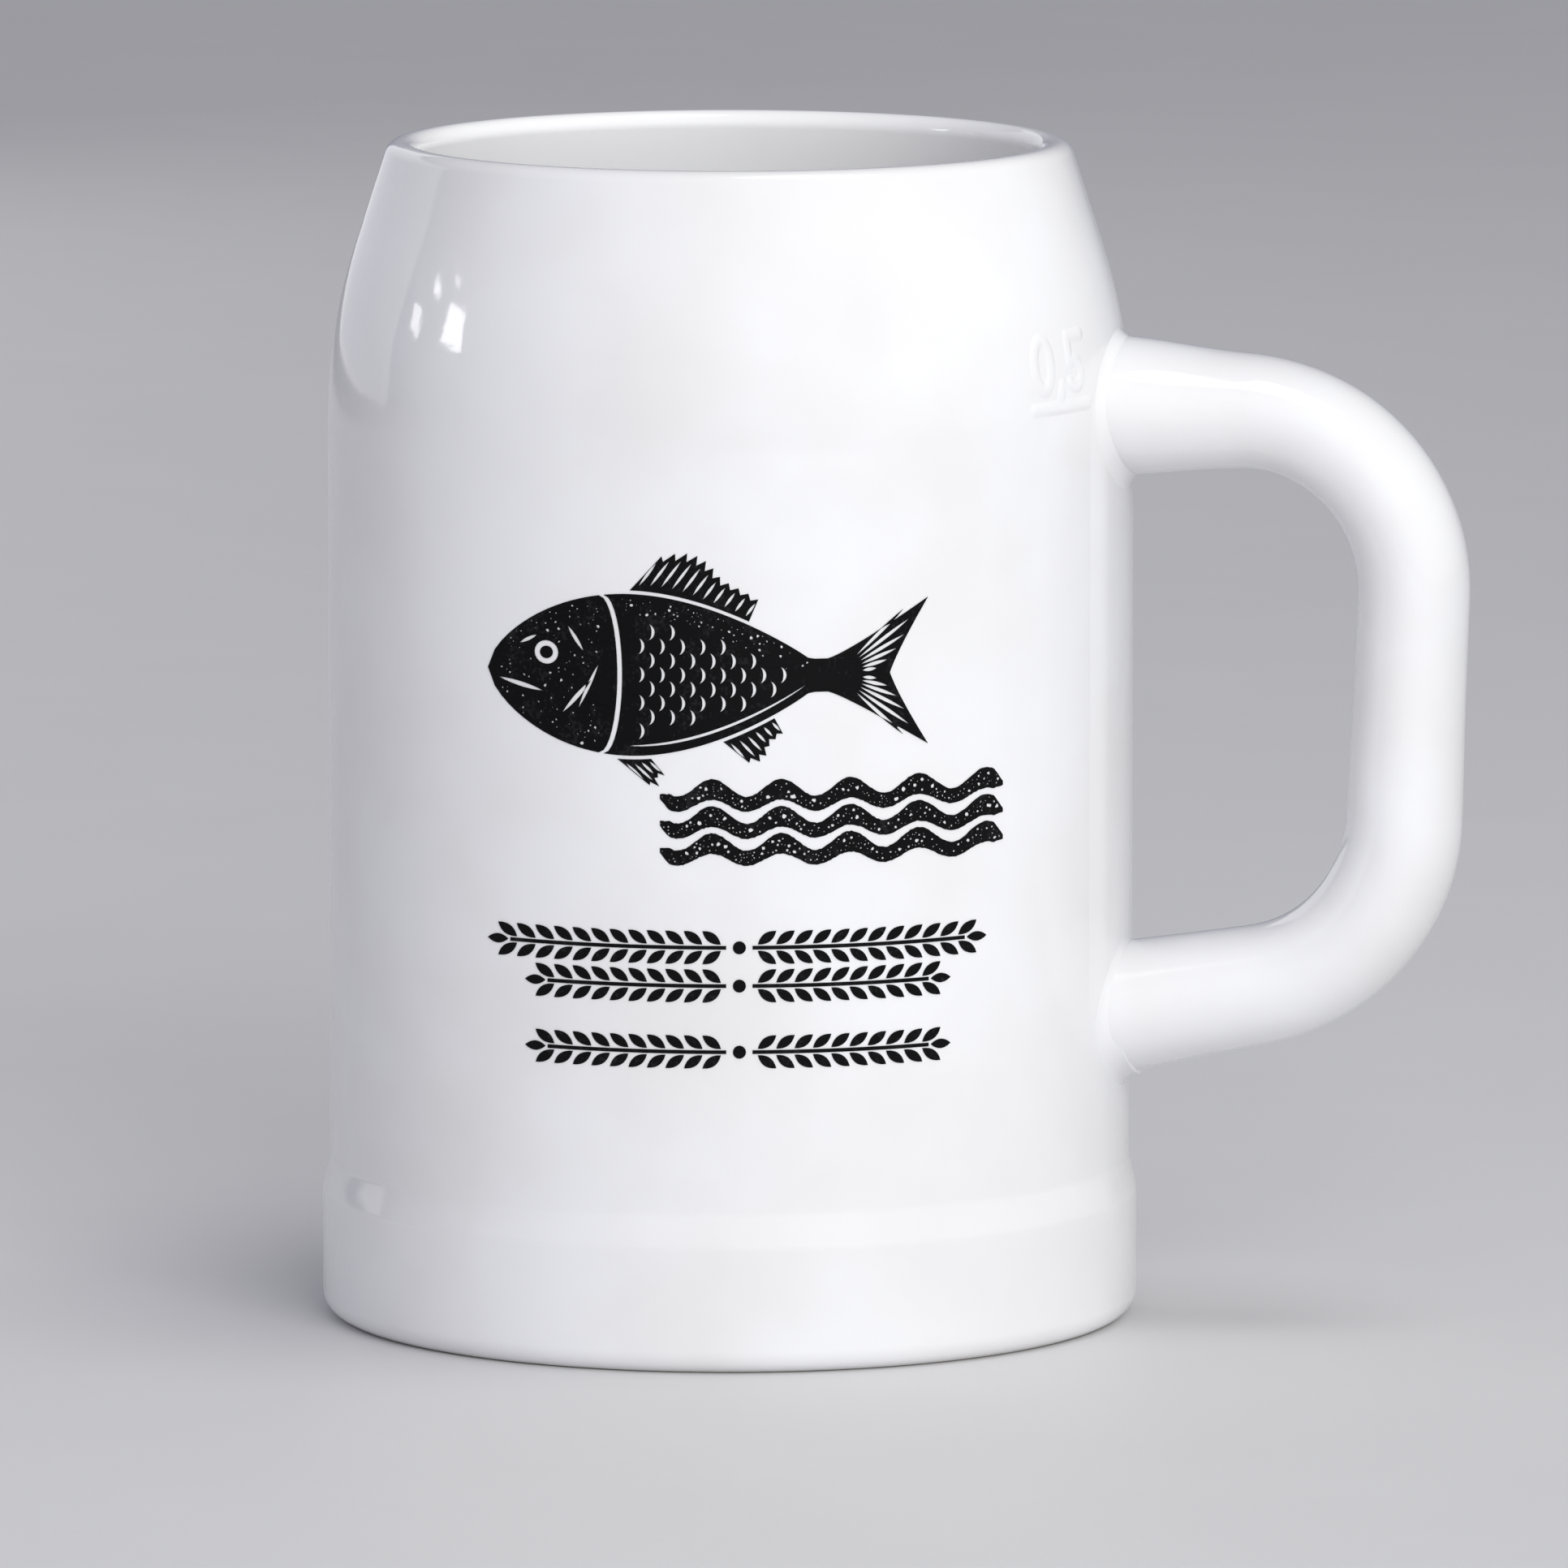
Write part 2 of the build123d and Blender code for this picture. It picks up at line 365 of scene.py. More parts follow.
@dataclass(frozen=True)
class WhiteGlaze:
    """Glossy cool-white glaze: thin places, painted light in the cavity, soft ripple, pits, and a bare foot
    ring.
    """

    lip_z: float
    full: Colour = (0.86, 0.862, 0.885)
    thin: Colour = (0.80, 0.795, 0.80)
    # painted light: a lighter glaze colour for the cavity, standing in for light inside the vessel
    painted_cavity_light: Colour = (0.94, 0.94, 0.945)
    bare: Colour = (0.66, 0.62, 0.55)
    pit: Colour = (0.32, 0.27, 0.22)
    lip_middle: float = 37.5 * MM
    lip_slope: float = 0.32
    lip_fade: float = 1.4 * MM
    lip_wear: float = 0.4
    wall_middle: float = 43.3 * MM
    floor_middle: float = 5.0 * MM
    bare_below: float = 0.25 * MM
    bare_waver: float = 0.3 * MM
    bare_roughness: float = 0.8
    gloss: Point = (0.05, 0.11)
    index: float = 1.52
    cloud_scale: float = 38.0
    ripple_scale: float = 75.0
    peel_scale: float = 620.0
    grain_scale: float = 2600.0
    pit_scale: float = 95.0
    pit_rarity: Point = (0.90, 0.905)
    pit_size: Point = (0.022, 0.034)
    pit_shade: float = 0.8
    ripple_depth: float = 0.16 * MM
    peel_depth: float = 0.010 * MM
    pit_depth: float = 0.06 * MM
    bare_depth: float = 0.05 * MM

    def inside(self, board: NodeBoard, split: bpy.types.Node) -> bpy.types.NodeSocket:
        """A mask of the vessel's cavity, where light is painted into the glaze as a lighter colour.

        Args:
            board: The material's board.
            split: The node that gives the place as X, Y and Z.

        Returns:
            1 in the cavity and 0 outside it.
        """
        across, deep, height = (split.outputs[axis] for axis in "XYZ")
        across_squared = board.math("MULTIPLY", across, across)
        deep_squared = board.math("MULTIPLY", deep, deep)
        squares = board.math("ADD", across_squared, deep_squared)
        radius = board.math("SQRT", squares, 0.0)
        fall = board.math("MULTIPLY", board.math("SUBTRACT", self.lip_z, height), self.lip_slope)
        limit = board.math("MINIMUM", board.math("ADD", fall, self.lip_middle), self.wall_middle)
        within = board.math("LESS_THAN", radius, limit)
        return board.math("MULTIPLY", within, board.math("GREATER_THAN", height, self.floor_middle))

    def pits(self, board: NodeBoard, coords: bpy.types.NodeSocket) -> bpy.types.NodeSocket:
        """A mask of the few small pits in the glaze.

        Args:
            board: The material's board.
            coords: The place on the piece.

        Returns:
            1 in a pit and 0 elsewhere.
        """
        cells = board.add("ShaderNodeTexVoronoi")
        cells.inputs["Scale"].default_value = self.pit_scale
        board.join(coords, cells.inputs["Vector"])
        rarity = board.add("ShaderNodeSeparateColor")
        board.join(cells.outputs["Color"], rarity.inputs["Color"])
        chosen = board.ramp(rarity.outputs["Red"], *self.pit_rarity)
        spot = board.ramp(cells.outputs["Distance"], *self.pit_size, (1.0, 0.0))
        return board.math("MULTIPLY", chosen, spot)

    def unglazed(
        self, board: NodeBoard, height: bpy.types.NodeSocket, grain: bpy.types.NodeSocket
    ) -> bpy.types.NodeSocket:
        """A mask of the bare ring that the vessel stands on, with a wavering edge.

        Args:
            board: The material's board.
            height: The height above the table.
            grain: The clay's fine grain.

        Returns:
            1 on bare clay and 0 on glaze.
        """
        waver = board.math("MULTIPLY", board.math("SUBTRACT", grain, 0.5), self.bare_waver)
        edge = board.math("ADD", height, waver)
        return board.ramp(edge, self.bare_below * 0.5, self.bare_below * 1.5, (1.0, 0.0))

    def make(self) -> bpy.types.Material:
        """Builds the material.

        Returns:
            The glaze, ready for the clay pieces.
        """
        material, board, shader = new_board("white_glaze")
        coords = board.add("ShaderNodeTexCoord").outputs["Object"]
        split = board.add("ShaderNodeSeparateXYZ")
        board.join(coords, split.inputs["Vector"])
        height = split.outputs["Z"]
        cloud = board.noise(coords, self.cloud_scale, 3.0)
        ripple = board.noise(coords, self.ripple_scale, 1.0)
        peel = board.noise(coords, self.peel_scale)
        grain = board.noise(coords, self.grain_scale)
        pits = self.pits(board, coords)
        bare = self.unglazed(board, height, grain)

        colour = board.mix(board.ramp(cloud, 0.3, 0.75), self.full, self.thin)
        # painted light: the cavity is painted lighter to stand in for light inside the vessel
        colour = board.mix(self.inside(board, split), colour, self.painted_cavity_light)
        lip = board.ramp(height, self.lip_z - self.lip_fade, self.lip_z)
        colour = board.mix(board.math("MULTIPLY", lip, self.lip_wear), colour, self.thin)
        colour = board.mix(board.math("MULTIPLY", pits, self.pit_shade), colour, self.pit)
        colour = board.mix(bare, colour, board.mix(grain, self.bare, self.thin))
        board.join(colour, shader.inputs["Base Color"])

        gloss = board.ramp(cloud, 0.2, 0.8, self.gloss)
        dull = board.math("MULTIPLY", bare, self.bare_roughness)
        board.join(board.math("MAXIMUM", gloss, dull), shader.inputs["Roughness"])
        shader.inputs["IOR"].default_value = self.index

        soft = board.bump(ripple, self.ripple_depth)
        fine = board.bump(peel, self.peel_depth, soft)
        sunk = board.bump(pits, -self.pit_depth, fine)
        rough = board.bump(board.math("MULTIPLY", grain, bare), self.bare_depth, sunk)
        board.join(rough, shader.inputs["Normal"])
        return material


@dataclass(frozen=True)
class DecalInk:
    """Black fired-on decal ink with uneven cover and a satin gloss."""

    dense: Colour = (0.003, 0.003, 0.0035)
    worn: Colour = (0.013, 0.013, 0.015)
    patch_scale: float = 420.0
    grain_scale: float = 2400.0
    cover: Point = (0.28, 0.42)
    roughness: Point = (0.16, 0.30)
    index: float = 1.4
    sheen: float = 0.15
    grain_depth: float = 0.004 * MM

    def make(self) -> bpy.types.Material:
        """Builds the material.

        Returns:
            The ink, ready for the printed films.
        """
        material, board, shader = new_board("black_decal")
        coords = board.add("ShaderNodeTexCoord").outputs["Object"]
        patches = board.noise(coords, self.patch_scale, 3.0)
        grain = board.noise(coords, self.grain_scale)
        cover = board.ramp(board.math("MULTIPLY", patches, grain), *self.cover)
        board.join(board.mix(cover, self.dense, self.worn), shader.inputs["Base Color"])
        board.join(board.ramp(patches, 0.3, 0.7, self.roughness), shader.inputs["Roughness"])
        shader.inputs["IOR"].default_value = self.index
        shader.inputs["Specular IOR Level"].default_value = self.sheen
        board.join(board.bump(grain, self.grain_depth), shader.inputs["Normal"])
        return material


@dataclass(frozen=True)
class StudioFloor:
    """A plain pale matte floor with a faint mottle."""

    tone: Colour = (0.72, 0.72, 0.725)
    fleck: Colour = (0.69, 0.69, 0.695)
    mottle_scale: float = 30.0
    roughness: float = 0.55

    def make(self) -> bpy.types.Material:
        """Builds the material.

        Returns:
            The floor's material.
        """
        material, board, shader = new_board("studio_floor")
        coords = board.add("ShaderNodeTexCoord").outputs["Object"]
        mottle = board.noise(coords, self.mottle_scale, 3.0)
        board.join(board.mix(mottle, self.tone, self.fleck), shader.inputs["Base Color"])
        shader.inputs["Roughness"].default_value = self.roughness
        return material


def finish_piece(
    piece: bpy.types.Object, material: bpy.types.Material, slot: Slot, *nodes: str
) -> bpy.types.Object:
    """Dresses a piece, hangs it on the stein and says which CAD nodes it stands for.

    Args:
        piece: The finished mesh object.
        material: Its material.
        slot: The record's slot for the piece; not used.
        nodes: The CAD nodes that it replaces.

    Returns:
        The piece.
    """
    piece.data.materials.clear()
    piece.data.materials.append(material)
    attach(piece, BODY)
    if nodes:
        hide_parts(*nodes)
    piece.data.calc_loop_triangles()
    triangles = len(piece.data.loop_triangles)
    LOG.info("%s: %d triangles, stands for %s", piece.name, triangles, ", ".join(nodes) or "itself")
    return piece


# ---- Vessel -----------------------------------------------------------------------------------


@dataclass
class Vessel:
    """The turned vessel: foot ring, foot band, wall, sloping shoulder, lip and cavity."""

    height: float
    foot_radius: float
    band_proud: float = 0.9 * MM
    band_top: float = 14.6 * MM
    step_height: float = 3.8 * MM
    step_round: float = 3.2 * MM
    wall: float = 6.6 * MM
    floor_top: float = 8.5 * MM
    shoulder_inset: float = 7.15 * MM
    shoulder_angle: float = 17.9
    shoulder_round: float = 66.0 * MM
    inner_shoulder_round: float = 48.0 * MM
    lip_width: float = 3.9 * MM
    lip_outer_round: float = 1.9 * MM
    lip_inner_round: float = 1.6 * MM
    foot_round: float = 2.7 * MM
    foot_ring: float = 6.5 * MM
    foot_recess: float = 2.2 * MM
    recess_draft: float = 2.5 * MM
    recess_round: float = 1.4 * MM
    ring_round: float = 0.7 * MM
    inner_corner_round: float = 9.0 * MM
    turns: int = 288
    spacing: float = 2.2 * MM

    @property
    def wall_radius(self) -> float:
        """Outer radius of the straight wall."""
        return self.foot_radius - self.band_proud

    @property
    def shoulder_z(self) -> float:
        """Height where the wall line would meet the shoulder line."""
        return self.height - self.shoulder_inset / math.tan(math.radians(self.shoulder_angle))

    def radius_at(self, z: float) -> float:
        """Outer radius of the wall and shoulder.

        Args:
            z: A height above the foot band.

        Returns:
            The radius there.
        """
        slope = math.radians(self.shoulder_angle)
        start = self.shoulder_z - self.shoulder_round * math.tan(slope / 2)
        end = start + self.shoulder_round * math.sin(slope)
        if z <= start:
            return self.wall_radius
        if z < end:
            rise = z - start
            return self.wall_radius - self.shoulder_round + math.sqrt(self.shoulder_round**2 - rise**2)
        return self.wall_radius - (z - self.shoulder_z) * math.tan(slope)

    def profile(self) -> Loop:
        """The half section, from the axis under the foot round the outside to the axis on the floor.

        Returns:
            Its points, as radius and height.
        """
        slope = math.tan(math.radians(self.shoulder_angle))
        lip = self.wall_radius - self.shoulder_inset
        mouth = lip - self.lip_width
        inner = self.wall_radius - self.wall
        ring = self.foot_radius - self.foot_ring
        corners = [
            (0.0, self.foot_recess, 0.0),
            (ring - self.recess_draft, self.foot_recess, self.recess_round),
            (ring, 0.0, self.ring_round),
            (self.foot_radius, 0.0, self.foot_round),
            (self.foot_radius, self.band_top, self.step_round),
            (self.wall_radius, self.band_top + self.step_height, self.step_round),
            (self.wall_radius, self.shoulder_z, self.shoulder_round),
            (lip, self.height, self.lip_outer_round),
            (mouth, self.height, self.lip_inner_round),
            (inner, self.height - (inner - mouth) / slope, self.inner_shoulder_round),
            (inner, self.floor_top, self.inner_corner_round),
            (0.0, self.floor_top, 0.0),
        ]
        return rounded_outline(corners, self.spacing)

    def build(self) -> bpy.types.Object:
        """Draws the half section by extruding one vertex along it, and spins it round the axis.

        Returns:
            The vessel.
        """
        clear_selection()
        bpy.ops.mesh.primitive_circle_add(vertices=3, radius=1 * MM)
        piece = bpy.context.object
        piece.name = "vessel"
        start_editing()
        select_where(piece, lambda place: place.y < 0.9 * MM)
        bpy.ops.mesh.delete(type="VERT")
        bpy.ops.mesh.select_all(action="SELECT")
        points = self.profile()
        first = piece.data.vertices[0].co.copy()
        bpy.ops.transform.translate(value=(points[0][0] - first.x, -first.y, points[0][1] - first.z))
        for start, end in zip(points, points[1:]):
            step = (end[0] - start[0], 0.0, end[1] - start[1])
            bpy.ops.mesh.extrude_vertices_move(TRANSFORM_OT_translate={"value": step})
        bpy.ops.mesh.select_all(action="SELECT")
        bpy.ops.mesh.spin(steps=self.turns, angle=TURN, center=(0, 0, 0), axis=(0, 0, 1))
        bpy.ops.object.mode_set(mode="OBJECT")
        tidy_mesh(piece)
        shade(piece, 60.0)
        return piece


# ---- Handle -----------------------------------------------------------------------------------


@dataclass
class BackingStrap:
    """The flattened strap bedded in the wall, whose flanks run out softly into the glaze."""

    vessel: Vessel
    face: float
    bottom: float
    top: float
    half_width: float = 14.2 * MM
    corner: float = 12.5 * MM
    flank: float = 5.2 * MM
    margin: float = 0.8 * MM
    flatness: float = 50.0 * MM
    pitch: float = 0.42 * MM
    sink: float = 0.05 * MM
    backing: float = 1.2 * MM

    def inset(self, across: float, up: float) -> float:
        """How far inside the strap's rounded outline a place lies.

        Args:
            across: Sideways from the strap's middle line.
            up: Height above the table.

        Returns:
            The distance to the outline, less than 0 outside it.
        """
        middle = (self.top + self.bottom) / 2
        side = abs(across) - (self.half_width - self.corner)
        end = abs(up - middle) - ((self.top - self.bottom) / 2 - self.corner)
        outside = math.hypot(max(side, 0.0), max(end, 0.0)) + min(max(side, end), 0.0)
        return self.corner - outside

    def surface(self, across: float, up: float) -> float:
        """How far out the strap's surface lies, seen from the handle's side.

        Args:
            across: Sideways from the strap's middle line.
            up: Height above the table.

        Returns:
            The surface's place along +X.
        """
        radius = self.vessel.radius_at(up)
        wall = math.sqrt(max(radius**2 - across**2, 0.0))
        crown = radius + self.face - self.vessel.wall_radius
        band = crown - across**2 / (2 * self.flatness)
        share = smooth_step((self.inset(across, up) + self.margin) / self.flank)
        return wall + (band - wall) * share - self.sink * (1 - share)

    def build(self) -> bpy.types.Object:
        """Crops a fine grid to the outline, presses it to the strap's surface and backs it.

        Returns:
            The strap.
        """
        clear_selection()
        width = 2 * (self.half_width + 2 * self.margin)
        length = self.top - self.bottom + 4 * self.margin
        bpy.ops.mesh.primitive_grid_add(
            x_subdivisions=round(length / self.pitch),
            y_subdivisions=round(width / self.pitch),
            size=1,
            location=(self.face, 0, (self.top + self.bottom) / 2),
            rotation=(0, math.pi / 2, 0),
        )
        piece = bpy.context.object
        piece.name = "backing_strap"
        piece.scale = (length, width, 1)
        settle(piece)
        start_editing()
        select_where(piece, lambda place: self.inset(place.y, place.z) < -1.2 * self.margin)
        bpy.ops.mesh.delete(type="VERT")
        bpy.ops.object.mode_set(mode="OBJECT")
        for vertex in piece.data.vertices:
            vertex.co.x = self.surface(vertex.co.y, vertex.co.z)
        start_editing()
        bpy.ops.mesh.select_all(action="SELECT")
        bpy.ops.mesh.normals_make_consistent(inside=False)
        bpy.ops.object.mode_set(mode="OBJECT")
        if piece.data.polygons[0].normal.x < 0:
            piece.data.flip_normals()
        add_modifier(piece, "SOLIDIFY", thickness=self.backing, offset=-1.0, use_rim=True)
        shade(piece, 50.0)
        return piece


@dataclass
class SlipSeam:
    """The hollow fillet of slip round one root of the handle, lying on the strap and the wall."""

    name: str
    strap: BackingStrap
    centre_z: float
    half_width: float
    half_height: float
    round_top: float
    round_bottom: float
    round_side: float = 1.7 * MM
    sink: float = 0.12 * MM
    bite: float = 0.25 * MM
    depth: float = 1.6 * MM
    steps: int = 10
    around: int = 160

    @property
    def tallest(self) -> float:
        """How far the fillet climbs up the bar."""
        return max(self.round_side, self.round_top, self.round_bottom)

    def oval(self, climb: float) -> Ring:
        """The fillet's outline at a share of its climb up the bar.

        Args:
            climb: 0 where it lies on the strap, 1 where it ends on the bar.

        Returns:
            The outline's half width, half height and centre height.
        """
        spread = 1 - math.sqrt(1 - (1 - climb) ** 2)
        top, bottom = self.round_top * spread, self.round_bottom * spread
        grip = self.bite * climb
        half_width = self.half_width + self.round_side * spread - grip
        half_height = self.half_height + (top + bottom) / 2 - grip
        return half_width, half_height, self.centre_z + (top - bottom) / 2

    def ring_out(self, here: Ring, there: Ring, out: float) -> None:
        """Extrudes the selected ring outwards and draws it in to the next outline.

        Args:
            here: The ring's half width, half height and centre height.
            there: The same of the next outline.
            out: How far the next outline stands out.
        """
        bpy.ops.mesh.extrude_edges_move(TRANSFORM_OT_translate={"value": (out, 0, there[2] - here[2])})
        shrink = (1, there[0] / here[0], there[1] / here[1])
        bpy.ops.transform.resize(value=shrink, center_override=(0, 0, there[2]))

    def build(self) -> bpy.types.Object:
        """Extrudes an oval ring out in small steps, closes it, and beds it on the strap's surface.

        Returns:
            The fillet.
        """
        clear_selection()
        here = self.oval(0.0)
        bpy.ops.mesh.primitive_circle_add(
            vertices=self.around,
            radius=1,
            location=(-self.sink, 0, here[2]),
            rotation=(0, math.pi / 2, 0),
        )
        piece = bpy.context.object
        piece.name = self.name
        piece.scale = (here[1], here[0], 1)
        settle(piece)
        start_editing()
        bpy.ops.mesh.select_all(action="SELECT")
        for step in range(1, self.steps + 1):
            climb = 1 - math.cos(step / self.steps * math.pi / 2)
            before = 1 - math.cos((step - 1) / self.steps * math.pi / 2)
            rise = (climb - before) * self.tallest + (self.sink if step == 1 else 0.0)
            there = self.oval(climb)
            self.ring_out(here, there, rise)
            here = there
        inner = (here[0] - self.depth, here[1] - self.depth, here[2])
        self.ring_out(here, inner, 0.0)
        self.ring_out(inner, inner, -self.tallest - self.depth)
        bpy.ops.mesh.select_all(action="DESELECT")
        bpy.ops.mesh.select_non_manifold()
        bpy.ops.mesh.bridge_edge_loops()
        bpy.ops.object.mode_set(mode="OBJECT")
        for vertex in piece.data.vertices:
            vertex.co.x += self.strap.surface(vertex.co.y, vertex.co.z)
        tidy_mesh(piece)
        shade(piece, 60.0)
        return piece


@dataclass
class Handle:
    """The D-shaped oval handle bar, thicker at its two roots."""

    face: float
    upper_z: float
    lower_z: float
    grip_out: float = 34.1 * MM
    upper_fall: float = 1.4 * MM
    lower_rise: float = 6.5 * MM
    grip_lean: float = 2.5 * MM
    upper_drop: float = 0.45 * MM
    upper_bend: float = 20.5 * MM
    lower_bend: float = 21.0 * MM
    thickness: float = 12.9 * MM
    width: float = 19.0 * MM
    bury: float = 3.6 * MM
    spacing: float = 1.3 * MM
    around: int = 24
    swell: Curve = (
        (0.0, 1.26),
        (0.05, 1.22),
        (0.10, 1.09),
        (0.17, 1.0),
        (0.30, 0.985),
        (0.50, 1.0),
        (0.68, 1.06),
        (0.78, 1.05),
        (0.86, 1.08),
        (0.94, 1.14),
        (1.0, 1.20),
    )
    swell_blend: float = 0.03
    seam_share: float = 0.055

    def line(self) -> Loop:
        """The centre line in the XZ plane, from the upper root to the lower root.

        Returns:
            Its points, as distance out and height.
        """
        root = self.face - self.bury
        out = self.face + self.grip_out
        corners = [
            (root, self.upper_z - self.upper_drop, 0.0),
            (out, self.upper_z - self.upper_fall, self.upper_bend),
            (out - self.grip_lean, self.lower_z + self.lower_rise, self.lower_bend),
            (root, self.lower_z, 0.0),
        ]
        return rounded_outline(corners, self.spacing)

    def swelling(self, share: float) -> float:
        """How much thicker than the grip the bar is.

        Args:
            share: A place along the bar, from 0 at the upper root to 1 at the lower root.

        Returns:
            The thickness there over the grip's thickness.
        """
        places, sizes = zip(*self.swell)
        spread = np.linspace(-self.swell_blend, self.swell_blend, 9)
        return float(np.interp(share + spread, places, sizes).mean())

    def build(self) -> bpy.types.Object:
        """Draws the line as a curve, carries an oval section along it and makes it a mesh.

        Returns:
            The handle bar.
        """
        clear_selection()
        bpy.ops.curve.primitive_bezier_circle_add(radius=0.5)
        oval = bpy.context.object
        oval.data.resolution_u = self.around
        oval.scale = (self.width, self.thickness, 1)
        settle(oval)
        clear_selection()
        bpy.ops.curve.primitive_bezier_curve_add()
        piece = bpy.context.object
        piece.name = "handle_bar"
        bpy.ops.object.transform_apply(location=True, rotation=True, scale=True)
        curve = piece.data
        curve.splines.clear()
        points = self.line()
        spline = curve.splines.new("POLY")
        spline.points.add(len(points) - 1)
        for index, (point, (across, up)) in enumerate(zip(spline.points, points)):
            point.co = (across, 0.0, up, 1.0)
            point.radius = self.swelling(index / (len(points) - 1))
        curve.dimensions = "3D"
        curve.twist_mode = "MINIMUM"
        curve.bevel_mode = "OBJECT"
        curve.bevel_object = oval
        curve.use_fill_caps = True
        pick(piece)
        bpy.ops.object.convert(target="MESH")
        bpy.data.objects.remove(oval)
        tidy_mesh(piece)
        shade(piece, 60.0)
        return piece

    def seams(self, strap: BackingStrap) -> tuple[SlipSeam, SlipSeam]:
        """The fillets of slip round the two roots, each sized from the bar where it meets the strap.

        Args:
            strap: The strap that they lie on.

        Returns:
            The upper and the lower fillet.
        """
        upper, lower = self.swelling(self.seam_share), self.swelling(1 - self.seam_share)
        half_width, half_height = self.width / 2, self.thickness / 2
        return (
            SlipSeam(
                name="slip_fillet_upper",
                strap=strap,
                centre_z=self.upper_z - self.upper_drop,
                half_width=half_width * upper,
                half_height=half_height * upper,
                round_top=1.3 * MM,
                round_bottom=2.4 * MM,
            ),
            SlipSeam(
                name="slip_fillet_lower",
                strap=strap,
                centre_z=self.lower_z,
                half_width=half_width * lower,
                half_height=half_height * lower,
                round_top=2.0 * MM,
                round_bottom=1.3 * MM,
            ),
        )


# ---- Capacity mark ------------------------------------------------------------------------------


@dataclass
class CapacityMark:
    """The raised digits 0,5 over a fill line, softened by the glaze."""

    vessel: Vessel
    fill_z: float
    azimuth: float = -24.8
    digit_height: float = 6.8 * MM
    digit_width: float = 4.1 * MM
    gap: float = 1.45 * MM
    line_gap: float = 1.6 * MM
    bowl_share: float = 0.3
    bowl_turn: Point = (118.0, 258.0)
    comma_head: float = 0.3 * MM
    comma_tail: float = 1.0 * MM
    comma_lean: float = 0.4 * MM
    half_stroke: float = 1.0 * MM
    proud: float = 0.18 * MM
    sink: float = 0.04 * MM
    pitch: float = 0.16 * MM
    border: float = 1.5 * MM
    backing: float = 0.8 * MM

    def strokes(self) -> list[Loop]:
        """Centre lines of the mark's strokes.

        Returns:
            The zero, the five, the comma and the fill line, as points sideways and up.
        """
        wide, tall = self.digit_width / 2, self.digit_height / 2
        pitch = self.digit_width + 2 * self.gap
        middle = self.fill_z + self.line_gap + tall
        zero_x, five_x = -pitch / 2, pitch / 2
        inset = self.half_stroke * 0.5
        top, foot = middle + tall - inset, middle - tall + inset
        zero = [
            (zero_x + (wide - inset) * math.cos(a), middle + (tall - inset) * math.sin(a))
            for a in (TURN * step / 32 for step in range(33))
        ]
        bowl = self.digit_height * self.bowl_share
        bowl_x, bowl_z = five_x - wide + bowl * 0.72, middle - tall + bowl
        start, sweep = self.bowl_turn
        arc = [
            (bowl_x + (bowl - inset) * math.cos(a), bowl_z + (bowl - inset) * math.sin(a))
            for a in (math.radians(start - sweep * step / 24) for step in range(25))
        ]
        stem_x = five_x - wide + inset
        five = [(five_x + wide * 0.8, top), (stem_x, top), (stem_x, arc[0][1])]
        comma = [(0.0, foot + self.comma_head), (-self.comma_lean, foot - self.comma_tail)]
        line = [(zero_x - wide, self.fill_z), (five_x + wide, self.fill_z)]
        return [zero, five + arc, comma, line]

    def build(self) -> bpy.types.Object:
        """Raises the strokes out of a fine grid that lies just under the wall's surface.

        Returns:
            The mark.
        """
        strokes = self.strokes()
        starts = np.array([p for stroke in strokes for p in stroke[:-1]])
        ends = np.array([p for stroke in strokes for p in stroke[1:]])
        low = np.minimum(starts.min(0), ends.min(0)) - self.border
        high = np.maximum(starts.max(0), ends.max(0)) + self.border
        size = high - low
        clear_selection()
        bpy.ops.mesh.primitive_grid_add(
            x_subdivisions=round(size[0] / self.pitch),
            y_subdivisions=round(size[1] / self.pitch),
            size=1,
            location=(*((low + high) / 2), 0),
        )
        piece = bpy.context.object
        piece.name = "capacity_mark"
        piece.scale = (size[0], size[1], 1)
        settle(piece)
        runs = ends - starts
        for vertex in piece.data.vertices:
            place = np.array((vertex.co.x, vertex.co.y))
            along = np.clip(((place - starts) * runs).sum(1) / (runs**2).sum(1), 0, 1)
            near = np.hypot(*(place - starts - runs * along[:, None]).T).min()
            lift = self.proud * smooth_step(1.15 - near / self.half_stroke) - self.sink
            radius = self.vessel.radius_at(vertex.co.y) + lift
            angle = math.radians(self.azimuth) + vertex.co.x / self.vessel.wall_radius
            vertex.co = (radius * math.cos(angle), radius * math.sin(angle), vertex.co.y)
        piece.data.update()
        if piece.data.polygons[0].normal.dot(piece.data.polygons[0].center) < 0:
            piece.data.flip_normals()
        add_modifier(piece, "SOLIDIFY", thickness=self.backing, offset=-1.0, use_rim=True)
        shade(piece, 60.0)
        return piece


# ---- Printed decoration ---------------------------------------------------------------------------


